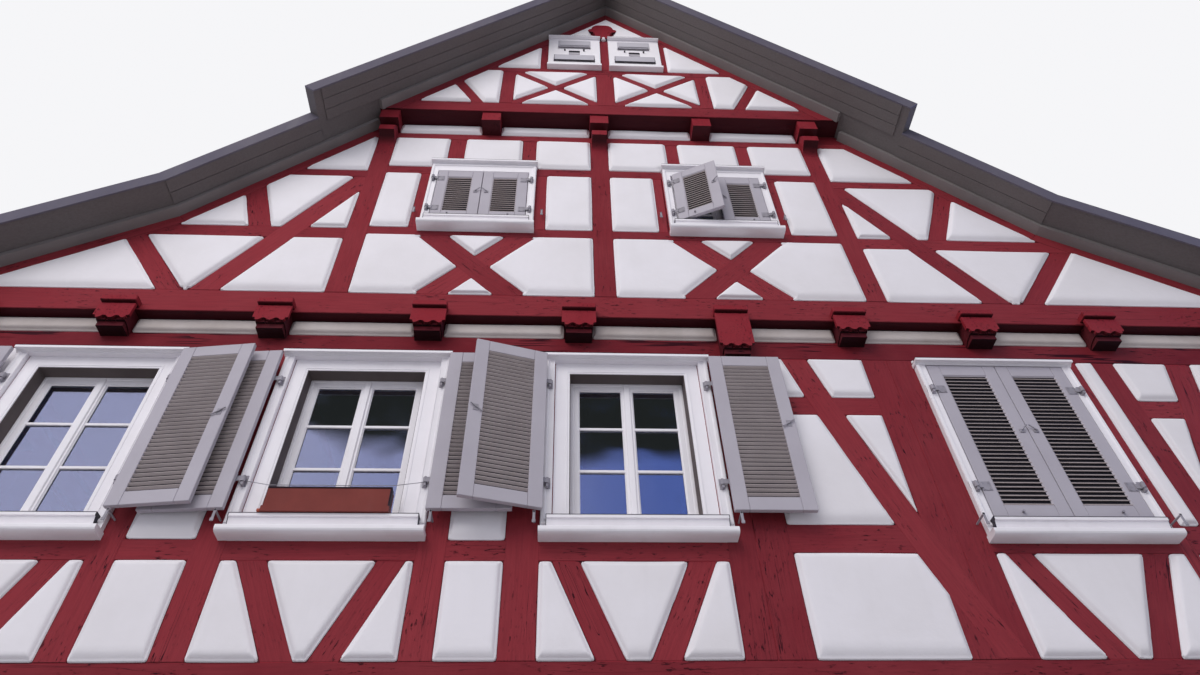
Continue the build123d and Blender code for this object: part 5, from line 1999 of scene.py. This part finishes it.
class Fittings:
    """The planter's edges, a wire before it, and the fittings of the top gable."""

    planter = -2.020
    lights = (-0.420, 0.323)

    def __init__(self, shop: Workshop) -> None:
        """Keep the workshop."""
        self.shop = shop

    def build(self) -> None:
        """Build all the fittings."""
        self.planter_edges()
        self.wire()
        self.top_lights()
        self.king_post()

    def planter_edges(self) -> None:
        """A dark rim and right end, and a lighter base, on the planter."""
        middle = self.planter
        rim, base = bmesh.new(), bmesh.new()
        add_block(rim, (middle - 0.403, 4.780, 0.102), (middle + 0.405, 4.793, 0.1145), 0.003)
        add_block(rim, (middle + 0.392, 4.622, 0.060), (middle + 0.405, 4.790, 0.1130), 0.004)
        add_block(rim, (middle - 0.400, 4.620, 0.100), (middle + 0.400, 4.626, 0.1115))
        add_block(base, (middle - 0.430, 4.601, 0.060), (middle + 0.392, 4.620, 0.1140), 0.003)
        self.shop.deliver(rim, "planter_rim", CLAY_RIM, matrix=Side.FRONT.matrix())
        self.shop.deliver(base, "planter_base", CLAY_BASE, matrix=Side.FRONT.matrix())

    def wire(self) -> None:
        """A thin wire that holds the planter, from one hinge plate to the other."""
        shape = bmesh.new()
        points = (
            Vector((self.planter - 0.590, 4.880, 0.050)),
            Vector((self.planter - 0.400, 4.800, 0.116)),
            Vector((self.planter + 0.405, 4.800, 0.116)),
            Vector((self.planter + 0.590, 4.880, 0.050)),
        )
        for start, end in zip(points, points[1:]):
            add_rod(shape, start, end, 0.0025, 6)
        self.shop.deliver(shape, "planter_wire", IRON, matrix=Side.FRONT.matrix())

    def top_lights(self) -> None:
        """Grey flaps and boxes, a slot, hooks and a thin cornice on each boarded light; the dark slot,
        outlines and thin lines are partly painted shade.
        """
        for side in (Side.FRONT, Side.BACK):
            grey, dark, white = bmesh.new(), bmesh.new(), bmesh.new()
            face = TOP_JETTY + 0.025
            for centre in self.lights:
                for shape, wide, low, high, back, front, edge in (
                    (grey, 0.204, 11.400, 11.560, -0.012, 0.002, 0.002),
                    (grey, 0.188, 11.418, 11.552, 0.0, 0.008, 0.004),
                    (grey, 0.242, 11.002, 11.134, 0.0, 0.006, 0.002),
                    # The dark lines, slot and outlines are partly painted shade.
                    (dark, 0.188, 11.407, 11.414, -0.010, 0.003, 0.0),
                    (dark, 0.068, 11.208, 11.262, -0.010, 0.003, 0.002),
                    (dark, 0.247, 10.996, 11.140, -0.010, 0.002, 0.001),
                    (dark, 0.326, 11.625, 11.632, -0.025, 0.0455, 0.001),
                    (white, 0.300, 10.850, 10.876, 0.0, 0.030, 0.004),
                ):
                    left, right = centre - wide, centre + wide
                    add_block(shape, (left, low, face + back), (right, high, face + front), edge)
                for hand in (-1, 1):
                    hook = Vector((centre + hand * 0.118, 11.262, face))
                    add_rod(dark, hook, hook + Vector((0, 0, 0.022)), 0.010, 8)
            knob = Vector((-0.0485, 11.655, TOP_JETTY + 0.012))
            bmesh.ops.create_uvsphere(
                white, u_segments=16, v_segments=10, radius=0.034, matrix=Matrix.Translation(knob)
            )
            matrix = side.matrix()
            self.shop.deliver(grey, f"light_flaps_{side.value}", LIGHT_GREY, matrix=matrix)
            self.shop.deliver(dark, f"light_edges_{side.value}", DARK_SHEET_AND_SHADE, matrix=matrix)
            self.shop.deliver(white, f"light_mouldings_{side.value}", CASING_PAINT, matrix=matrix)

    def king_post(self) -> None:
        """The head of the middle post under the ridge, a board cut to a symmetrical outline."""
        half = (
            (0.100, 0.0), (0.092, 0.080), (0.098, 0.140), (0.120, 0.190), (0.168, 0.212), (0.182, 0.245),
            (0.166, 0.275), (0.138, 0.290), (0.132, 0.330), (0.112, 0.375), (0.078, 0.405), (0.050, 0.412),
        )
        for side in (Side.FRONT, Side.BACK):
            shape = bmesh.new()
            corners = [*half, *((-x, y) for x, y in reversed(half))]
            add_board(shape, [(x - 0.060, 11.640 + y) for x, y in corners], TOP_JETTY, 0.040)
            self.shop.deliver(shape, f"king_head_{side.value}", TIMBER_UPRIGHT, matrix=side.matrix())


class Shutters:
    """The louvred leaves of the street front, with their ironwork."""

    stile = 0.100
    rail = 0.105
    slat_pitch = 0.036

    def __init__(self, shop: Workshop) -> None:
        """Work out how each leaf hangs.

        Args:
            shop: The frame and the palette.
        """
        self.shop = shop
        front = find_windows(shop.frame, Side.FRONT)
        first = [window for window in front if 4.0 < window.sill < 6.0]
        gable = [window for window in front if window.small]
        stands = {
            "first_a": (first[0], 180.0, 173.4),
            "first_b": (first[1], 184.0, 180.0),
            "first_c": (first[2], 165.0, 180.0),
            "first_d": (first[3], 0.0, 0.0),
            "gable_a": (gable[0], 0.0, 0.0),
            "gable_b": (gable[1], 24.0, 0.0),
        }
        self.leaves = []
        for label, (window, left, right) in stands.items():
            reach = window.half - CASING_BOARD + HINGE_INSET - 0.006
            top = window.head - 0.120 if window.small else window.head
            foot = window.sill + 0.020
            for name, hand, angle in (("left", -1, left), ("right", 1, right)):
                node = f"shutter_{label}_{name}"
                body = node if node in shop.frame["bodies"] else ROOT
                self.leaves.append(
                    Leaf(
                        node,
                        window.centre + hand * reach,
                        window.out,
                        hand,
                        angle,
                        foot,
                        top - 0.010 - foot,
                        reach - 0.003,
                        body,
                    )
                )

    def build(self) -> None:
        """Build every leaf, and the plates and catches that stay on the wall."""
        plates = bmesh.new()
        for leaf in self.leaves:
            self.frame_piece(leaf)
            self.slats(leaf)
            self.ironwork(leaf)
            self.casing_plates(leaf, plates)
            self.slat_shade(leaf)
            self.wall_catch(leaf, plates)
        self.shop.deliver(plates, "casing_hinge_plates", IRON, matrix=Side.FRONT.matrix())

    @staticmethod
    def casing_plates(leaf: Leaf, shape: Shape) -> None:
        """The two hinge plates of a leaf that are screwed to the casing.

        Args:
            leaf: The leaf.
            shape: Bmesh that they are added to, in the front's coordinates.
        """
        face = leaf.jetty + CASING_FRONT
        for share in HINGE_SHARES:
            height = leaf.foot + leaf.tall * share
            ends = sorted((leaf.pin_x - leaf.hand * 0.020, leaf.pin_x + leaf.hand * 0.037))
            low, high = (ends[0], height - 0.045, face - 0.001), (ends[1], height + 0.045, face + 0.004)
            add_block(shape, low, high, 0.001)
            ends = sorted((leaf.pin_x - leaf.hand * 0.006, leaf.pin_x + leaf.hand * 0.010))
            add_block(shape, (ends[0], height - 0.044, face), (ends[1], height - 0.032, face + 0.024), 0.001)
            for up in (-0.034, 0.034):
                spot = Vector((leaf.pin_x + leaf.hand * 0.026, height + up, face + 0.003))
                add_rod(shape, spot, spot + Vector((0, 0, 0.003)), 0.005, 8)

    @staticmethod
    def wall_catch(leaf: Leaf, shape: Shape) -> None:
        """The catch on the wall that holds an open leaf.

        Args:
            leaf: The leaf.
            shape: Bmesh that it is added to, in the front's coordinates.
        """
        if leaf.tall < 1.0:
            x, height, out = leaf.pin_x + leaf.hand * 0.115, leaf.foot + 0.150, 0.050
        else:
            x, height, out = leaf.pin_x + leaf.hand * 0.078, leaf.foot - 0.022, 0.128
        wall = Vector((x, height, leaf.jetty))
        end = leaf.jetty + out
        add_rod(shape, wall, wall + Vector((0, 0, out)), 0.007, 8)
        add_block(shape, (x - 0.009, height - 0.062, end - 0.006), (x + 0.009, height + 0.010, end), 0.002)
        low, high = (x - 0.012, height - 0.085, end - 0.004), (x + 0.012, height - 0.060, end + 0.004)
        add_block(shape, low, high, 0.003)

    def louvre_span(self, leaf: Leaf) -> Point:
        """Left and right end of a leaf's slats, which sit a little in its stiles."""
        return HINGE_INSET + self.stile - 0.004, leaf.wide - self.stile + 0.004

    def slat_shade(self, leaf: Leaf) -> None:
        """A dark sheet in the middle of a leaf, painted shade that keeps the gaps between its slats dark.

        Args:
            leaf: The leaf.
        """
        shape = bmesh.new()
        left, right = self.louvre_span(leaf)
        low, high = self.rail - 0.004, leaf.tall - self.rail + 0.004
        add_block(shape, (left, low, LEAF_MIDDLE - 0.0008), (right, high, LEAF_MIDDLE + 0.0008))
        self.shop.deliver(shape, f"{leaf.node}_gauze", SLAT_SHADE, leaf.body, leaf.matrix())

    def frame_piece(self, leaf: Leaf) -> None:
        """Stiles and rails with a small moulding round the louvres.

        Args:
            leaf: The leaf.
        """
        shape = bmesh.new()
        back, front = LEAF_FACE - LEAF_THICK, LEAF_FACE
        outer = (HINGE_INSET, leaf.wide, 0.0, leaf.tall)
        field = (outer[0] + self.stile, outer[1] - self.stile, self.rail, leaf.tall - self.rail)
        seam = 0.0012
        for left, right in ((outer[0], field[0]), (field[1], outer[1])):
            add_block(shape, (left, 0.0, back), (right, leaf.tall, front), 0.003)
        left, right = field[0] + seam, field[1] - seam
        for low, high in ((0.0, field[2]), (field[3], leaf.tall)):
            add_block(shape, (left, low, back + 0.0005), (right, high, front - 0.0005), 0.003)
        bead = (field[0] - 0.002, field[1] + 0.002, field[2] - 0.002, field[3] + 0.002)
        add_moulding(shape, bead, front - 0.0004, ((0.003, 0.0), (0.008, -0.007), (0.003, -0.002)))
        self.shop.deliver(
            shape, f"{leaf.node}_frame", SHUTTER_PAINT, leaf.body, leaf.matrix(), replaces=(leaf.node,)
        )

    def slats(self, leaf: Leaf) -> None:
        """Thin slats that lean out at the bottom.

        Args:
            leaf: The leaf.
        """
        shape = bmesh.new()
        low, high = self.rail, leaf.tall - self.rail
        left, right = self.louvre_span(leaf)
        count = round((high - low) / self.slat_pitch)
        pitch = (high - low) / count
        lean = Matrix.Rotation(math.radians(42), 3, "X")
        for number in range(count):
            height = low + pitch * (number + 0.5)
            made = add_block(shape, (left, -0.0034, -0.020), (right, 0.0034, 0.020), 0.0015)
            bmesh.ops.rotate(shape, cent=(0, 0, 0), matrix=lean, verts=made)
            bmesh.ops.translate(shape, vec=(0, height, LEAF_MIDDLE), verts=made)
        self.shop.deliver(shape, f"{leaf.node}_slats", LOUVRE_PAINT, leaf.body, leaf.matrix())

    def ironwork(self, leaf: Leaf) -> None:
        """Hinge plates and knuckles, screws, a latch and a stay hook.

        Args:
            leaf: The leaf.
        """
        shape = bmesh.new()
        for share in HINGE_SHARES:
            height = leaf.tall * share
            add_rod(shape, Vector((0, height - 0.0198, 0)), Vector((0, height + 0.020, 0)), 0.0155, 12)
            add_rod(shape, Vector((0, height + 0.020, 0)), Vector((0, height + 0.028, 0)), 0.010, 10)
            add_block(shape, (0.0, height - 0.0198, -0.014), (0.050, height + 0.020, -0.008), 0.0015)
            add_block(shape, (0.040, height - 0.038, -0.020), (0.112, height + 0.038, -0.0150), 0.002)
            for across, up in ((0.056, 0.026), (0.056, -0.026), (0.098, 0.026), (0.098, -0.026)):
                spot = Vector((across, height + up, -0.0150))
                add_rod(shape, spot, spot + Vector((0, 0, 0.003)), 0.006, 8)
        edge, latch = leaf.wide - 0.05, leaf.tall * LATCH_SHARE
        add_block(shape, (edge - 0.02, latch, -0.020), (edge + 0.02, latch + 0.03, -0.012), 0.002)
        start = Vector((edge - 0.005, latch + 0.015, -0.006))
        add_rod(shape, start, start + Vector((0.050, 0.045, 0.006)), 0.005)
        foot = Vector((leaf.wide * 0.42, 0.045, -0.016))
        add_rod(shape, foot, foot + Vector((0, 0, 0.016)), 0.009, 10)
        back = LEAF_FACE - LEAF_THICK
        low, high = (edge - 0.018, latch - 0.028, back - 0.004), (edge + 0.018, latch + 0.028, back + 0.001)
        add_block(shape, low, high, 0.001)
        add_rod(shape, Vector((edge, latch, back - 0.014)), Vector((edge, latch, back - 0.002)), 0.007, 8)
        start = Vector((edge - 0.050, latch - 0.034, back - 0.010))
        add_rod(shape, start, start + Vector((0.090, 0.064, 0)), 0.005)
        self.shop.deliver(shape, f"{leaf.node}_iron", IRON, leaf.body, leaf.matrix())


class Roof:
    """Flat clay tiles in courses, ridge tiles and boarded undersides."""

    tile_wide = 0.180
    course = 0.155
    eaves_inset = 0.020
    tile_thick = 0.015

    def __init__(self, shop: Workshop) -> None:
        """Keep the workshop and seed the tiles' small differences."""
        self.shop = shop
        self.random = random.Random(11)

    def build(self) -> None:
        """Build both slopes and the ridge."""
        for name, hand in (("left", -1), ("right", 1)):
            self.slope(name, hand)
        self.ridge()
        self.soffits()

    @staticmethod
    def half_depth(along: float) -> float:
        """Half the roof's length from front to back at a distance down the slope."""
        return HALF_DEPTH + (HIGH_VERGE if along < VERGE_STEP else LOW_VERGE)

    def surface(self, along: float) -> tuple[float, float, float]:
        """Place and pitch of the roof's top at a distance down its slope.

        Args:
            along: Distance down from the ridge.

        Returns:
            Distance from the ridge line, height and pitch there.
        """
        half_turn = (MAIN_PITCH + KICK_PITCH) / 2
        knee = ROOF_THICK / math.cos((MAIN_PITCH - KICK_PITCH) / 2)
        knee_x = KICK_X + knee * math.sin(half_turn)
        top = APEX + ROOF_THICK / math.cos(MAIN_PITCH)
        main = knee_x / math.cos(MAIN_PITCH)
        if along <= main:
            return along * math.cos(MAIN_PITCH), top - along * math.sin(MAIN_PITCH), MAIN_PITCH
        rest = along - main
        knee_z = top - main * math.sin(MAIN_PITCH)
        return knee_x + rest * math.cos(KICK_PITCH), knee_z - rest * math.sin(KICK_PITCH), KICK_PITCH

    def slope(self, name: str, hand: int) -> None:
        """The tiles of one slope.

        Args:
            name: Left or right.
            hand: -1 on the left and 1 on the right.
        """
        shape = bmesh.new()
        tone = shape.faces.layers.float.new(TILE_TONE)
        half_turn = (MAIN_PITCH + KICK_PITCH) / 2
        knee_x = KICK_X + ROOF_THICK / math.cos((MAIN_PITCH - KICK_PITCH) / 2) * math.sin(half_turn)
        length = knee_x / math.cos(MAIN_PITCH) + (EAVES_X - knee_x) / math.cos(KICK_PITCH)
        courses = int(length / self.course)
        for number in range(courses):
            foot = length - self.eaves_inset - number * self.course
            if foot - self.course < 0.05:
                break
            x, z, pitch = self.surface(foot)
            half = self.half_depth(foot - self.course / 2) - 0.02
            count = round(2 * half / self.tile_wide)
            pitch_y = 2 * half / count
            offset = pitch_y / 2 if number % 2 else 0.0
            for place in range(count + (1 if offset else 0)):
                low = max(-half, -half + place * pitch_y - offset)
                high = min(half, -half + (place + 1) * pitch_y - offset)
                self.tile(shape, tone, (x * hand, z), pitch, hand, (low + 0.002, high - 0.002))
        self.shop.deliver(shape, f"roof_tiles_{name}", TILES)

    def tile(
        self,
        shape: Shape,
        tone: bmesh.types.BMLayerItem,
        foot: Point,
        pitch: float,
        hand: int,
        span: Point,
    ) -> None:
        """One tile, with a rounded lower edge.

        Args:
            shape: Bmesh that it is added to.
            tone: Layer that holds its tone.
            foot: Place of its lower edge.
            pitch: Slope of the roof there.
            hand: -1 on the left and 1 on the right.
            span: Its two edges from front to back.
        """
        lift = 0.006 + self.random.uniform(0, 0.004)
        visible = self.course + 0.03
        rise = self.tile_thick + lift
        middle = (span[0] + span[1]) / 2
        side = visible - 0.035
        outline = ((0.0, span[0]), (0.0, span[1]), (side, span[1]), (visible, middle), (side, span[0]))
        share = self.random.random()
        tops = []
        bottoms = []
        for along, y in outline:
            up = visible - along
            height = rise * along / visible + 0.004
            tops.append(self.on_slope(foot, pitch, hand, up, height, y))
            bottoms.append(self.on_slope(foot, pitch, hand, up, max(height - self.tile_thick, 0.0), y))
        upper = [shape.verts.new(point) for point in tops]
        lower = [shape.verts.new(point) for point in bottoms]
        if hand < 0:
            upper.reverse()
            lower.reverse()
        faces = [shape.faces.new(upper)]
        for number in range(len(upper)):
            following = (number + 1) % len(upper)
            faces.append(shape.faces.new((upper[number], lower[number], lower[following], upper[following])))
        for face in faces:
            face[tone] = share

    @staticmethod
    def on_slope(foot: Point, pitch: float, hand: int, up: float, height: float, y: float) -> Vector:
        """A point a distance up the slope from a foot and a height above it."""
        x = foot[0] - hand * (up * math.cos(pitch) - height * math.sin(pitch))
        return Vector((x, y, foot[1] + up * math.sin(pitch) + height * math.cos(pitch)))

    def ridge(self) -> None:
        """Half round ridge tiles that lap each other."""
        shape = bmesh.new()
        tone = shape.faces.layers.float.new(TILE_TONE)
        half = HALF_DEPTH + HIGH_VERGE - 0.01
        length = 0.36
        count = round(2 * half / length)
        step = 2 * half / count
        low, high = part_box("ridge_cap")
        spring = low.z + 0.045
        for number in range(count):
            start = -half + number * step
            share = self.random.random()
            for turn in range(10):
                first, second = math.pi * turn / 10, math.pi * (turn + 1) / 10
                corners = []
                for angle, along, swell in (
                    (first, start, 0.0),
                    (second, start, 0.0),
                    (second, start + step + 0.02, 0.006),
                    (first, start + step + 0.02, 0.006),
                ):
                    wide, tall = 0.163 + swell, high.z - spring - 0.008 + swell
                    corners.append((math.cos(angle) * wide, along, spring + math.sin(angle) * tall))
                face = shape.faces.new([shape.verts.new(corner) for corner in corners])
                face[tone] = share
        bmesh.ops.remove_doubles(shape, verts=shape.verts, dist=0.0005)
        bmesh.ops.recalc_face_normals(shape, faces=shape.faces)
        self.shop.deliver(shape, "ridge_tiles", TILES, smooth=True)

    def soffits(self) -> None:
        """Boards that close the undersides of the overhangs in front of the gables."""
        shape = bmesh.new()
        boards = (
            (HIGH_VERGE, TOP_JETTY + 0.11, 0.0, 4.50),
            (LOW_VERGE, GABLE_JETTY + 0.11, VERGE_STEP, self.main_length()),
        )
        for outer, inner, start, end in boards:
            count = 3 if outer == HIGH_VERGE else 2
            wide = (outer - inner) / count
            for hand in (-1, 1):
                for front in (-1, 1):
                    for number in range(count):
                        near = HALF_DEPTH + inner + number * wide + 0.002
                        far = near + wide - 0.004
                        self.board(shape, hand, front, (near, far), (start, end))
        self.shop.deliver(shape, "soffit_boards", SOFFIT_PAINT)

    @staticmethod
    def main_length() -> float:
        """Length of the underside's main slope."""
        return KICK_X / math.cos(MAIN_PITCH)

    @staticmethod
    def board(shape: Shape, hand: int, front: int, reach: Point, run: Point) -> None:
        """One board under the main slope.

        Args:
            shape: Bmesh that it is added to.
            hand: -1 on the left and 1 on the right.
            front: -1 over the street front and 1 over the back.
            reach: Its two edges, measured from the middle of the house.
            run: Its two ends, measured down the slope.
        """
        made = add_block(shape, (run[0], reach[0], -0.012), (run[1], reach[1], 0.0), 0.002)
        turn = Matrix.Rotation(MAIN_PITCH, 4, "Y")
        place = Matrix.Translation((0, 0, APEX)) @ turn
        bmesh.ops.transform(shape, matrix=place, verts=made)
        flip = Matrix.Diagonal((hand, front, 1, 1))
        bmesh.ops.transform(shape, matrix=flip, verts=made)
        if hand * front < 0:
            faces = unique(face for vertex in made for face in vertex.link_faces)
            bmesh.ops.reverse_faces(shape, faces=faces)


class Studio:
    """Floor, sky, lamps and the camera at the photograph's place."""

    eye = (-0.510, -9.286, 1.563)
    pitch = math.radians(47.07)
    yaw = math.radians(3.92)
    roll = math.radians(-1.99)
    lens = 24.0

    def build(self) -> None:
        """Set up the studio."""
        scene = bpy.context.scene
        scene.view_settings.view_transform = "Standard"
        self.floor()
        self.sky()
        self.lamps()
        self.camera()

    def floor(self) -> None:
        """A plain pale floor."""
        shape = bmesh.new()
        bmesh.ops.create_circle(shape, cap_ends=True, segments=64, radius=90.0)
        data = bpy.data.meshes.new("studio_floor")
        shape.to_mesh(data)
        shape.free()
        piece = bpy.data.objects.new("studio_floor", data)
        bpy.context.scene.collection.objects.link(piece)
        _, shader, material = new_material("studio_floor")
        shader.inputs["Base Color"].default_value = (0.42, 0.42, 0.43, 1.0)
        shader.inputs["Roughness"].default_value = 0.9
        data.materials.append(material)

    def sky(self) -> None:
        """A pale sky to the camera, and in the panes a painted reflection that is bluer to the right and
        dark high up.
        """
        world = bpy.data.worlds.new("pale_sky")
        bpy.context.scene.world = world
        world.use_nodes = True
        graph = Graph(world.node_tree)
        graph.tree.nodes.clear()
        rays = graph.node("LightPath")
        light = graph.node("Background", {"Color": (0.88, 0.90, 1.0, 1), "Strength": 0.70})
        seen = graph.node("Background", {"Color": (0.92, 0.92, 0.94, 1), "Strength": 1.0})
        ways = graph.node("SeparateXYZ", {0: graph.node("TexCoord").outputs["Generated"]}).outputs
        # Painted reflection: what the panes mirror turns bluer towards +X, and a dark band above a height
        # paints the dark upper panes.
        pane_reflection_tint = graph.mix(graph.band(ways["X"], -0.32, 0.12), (0.62, 0.64, 0.98), (0.16, 0.24, 0.72))
        dark = graph.mix(graph.band(ways["Z"], 0.614, 0.630), pane_reflection_tint, (0.030, 0.034, 0.034))
        mirrored = graph.node("Background", {"Color": dark, "Strength": 1.0})
        reflected = graph.maths("GREATER_THAN", rays.outputs["Glossy Depth"], 0.5)
        glossy = graph.maths("MAXIMUM", rays.outputs["Is Glossy Ray"], reflected)
        first = graph.node("MixShader", {0: glossy, 1: light.outputs[0], 2: mirrored.outputs[0]})
        straight = graph.maths("SUBTRACT", 1.0, reflected)
        passed = graph.maths("MULTIPLY", rays.outputs["Is Transmission Ray"], straight)
        through = graph.maths("MAXIMUM", rays.outputs["Is Camera Ray"], passed)
        second = graph.node("MixShader", {0: through, 1: first.outputs[0], 2: seen.outputs[0]})
        graph.node("OutputWorld", {"Surface": second.outputs[0]})

    def lamps(self) -> None:
        """One broad soft lamp before the front and a weaker one behind."""
        spots = (
            ("broad_lamp", (-7.0, -16.0, 17.0), (0.0, -4.8, 6.5), 12.0, 1720.0),
            ("back_lamp", (9.0, 16.0, 16.0), (0.0, 4.8, 6.0), 12.0, 1100.0),
        )
        for name, place, target, size, power in spots:
            data = bpy.data.lights.new(name, "AREA")
            data.energy = power
            data.size = size
            data.color = (1.0, 0.98, 0.96)
            lamp = bpy.data.objects.new(name, data)
            lamp.location = place
            lamp.rotation_euler = (Vector(target) - Vector(place)).to_track_quat("-Z", "Y").to_euler()
            lamp.visible_glossy = False
            lamp.visible_transmission = False
            bpy.context.scene.collection.objects.link(lamp)

    def camera(self) -> None:
        """The camera, close to the wall and looking steeply up."""
        ahead = Vector((math.sin(self.yaw), math.cos(self.yaw), 0))
        look = ahead * math.cos(self.pitch) + Vector((0, 0, math.sin(self.pitch)))
        up = -ahead * math.sin(self.pitch) + Vector((0, 0, math.cos(self.pitch)))
        right = Vector((math.cos(self.yaw), -math.sin(self.yaw), 0))
        level = right * math.cos(self.roll) + up * math.sin(self.roll)
        top = -right * math.sin(self.roll) + up * math.cos(self.roll)
        matrix = Matrix.Identity(4)
        matrix.col[0][:3] = level
        matrix.col[1][:3] = top
        matrix.col[2][:3] = -look
        matrix.col[3][:3] = self.eye
        data = bpy.data.cameras.new("street_camera")
        data.lens = self.lens
        data.sensor_width = 36.0
        data.clip_end = 300.0
        camera = bpy.data.objects.new("street_camera", data)
        camera.matrix_world = matrix
        bpy.context.scene.collection.objects.link(camera)
        bpy.context.scene.camera = camera


NODE_FINISHES = (
    (STONE, ("plinth", "ground_floor")),
    (RENDER, ("ground_wall_front", "ground_wall_back", "ground_wall_left", "ground_wall_right")),
    (DOOR_PAINT, ("entrance_door",)),
    (BOARDS, ("first_floor", "attic_floor", "loft_floor")),
    (TIMBER_ACROSS, ("first_frame_front", "first_frame_back", "gable_frame_front", "gable_frame_back")),
    (TIMBER_DEEP, ("first_frame_left", "first_frame_right", "lower_beams", "upper_beams")),
    (TIMBER_UPRIGHT, ("beam_consoles",)),
    (SOFFIT_PAINT, ("roof_left", "roof_right")),
    (TILES, ("ridge_cap",)),
    (SHEET_METAL, ("verge_boards",)),
    (FILLET_PAINT, ("soffit_fillets",)),
    (CASING_PAINT, ("casings_front", "casing_first_b", "casings_back", "casings_left", "casings_right")),
    (CASING_PAINT, ("sashes_front", "sashes_back", "sashes_left", "sashes_right")),
    (CASING_PAINT, ("window_ledges", "top_lights")),
    (PANE, ("window_glass",)),
    (IRON, ("hinge_pins",)),
    (CLAY_BOX, ("flower_box",)),
)


def write_sizes() -> None:
    """Update the view layer.
    """
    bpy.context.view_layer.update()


def main() -> None:
    """Dress the CAD nodes, add the fine pieces and set up the studio."""
    logging.basicConfig(level=logging.INFO, format="%(name)s: %(message)s")
    for stray in list(bpy.data.objects):
        bpy.data.objects.remove(stray)
    noise.seed_set(NOISE_SEED)
    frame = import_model()
    palette = Palette()
    shop = Workshop(frame, palette)
    for finish, nodes in NODE_FINISHES:
        for node in nodes:
            palette.dress_node(frame, node, finish)
    for side in Side:
        WindowTrim(shop, side).build()
        PlasterPanels(shop, f"first_infill_{side.value}", side).build()
    for side in (Side.FRONT, Side.BACK):
        PlasterPanels(shop, f"gable_infill_{side.value}", side).build()
    for side in Side:
        TimberLayer(shop, side).build()
    BeamHeads(shop).build()
    Ledges(shop).build()
    Shutters(shop).build()
    Fittings(shop).build()
    Roof(shop).build()
    Studio().build()
    write_sizes()


if __name__ == "__main__":
    main()
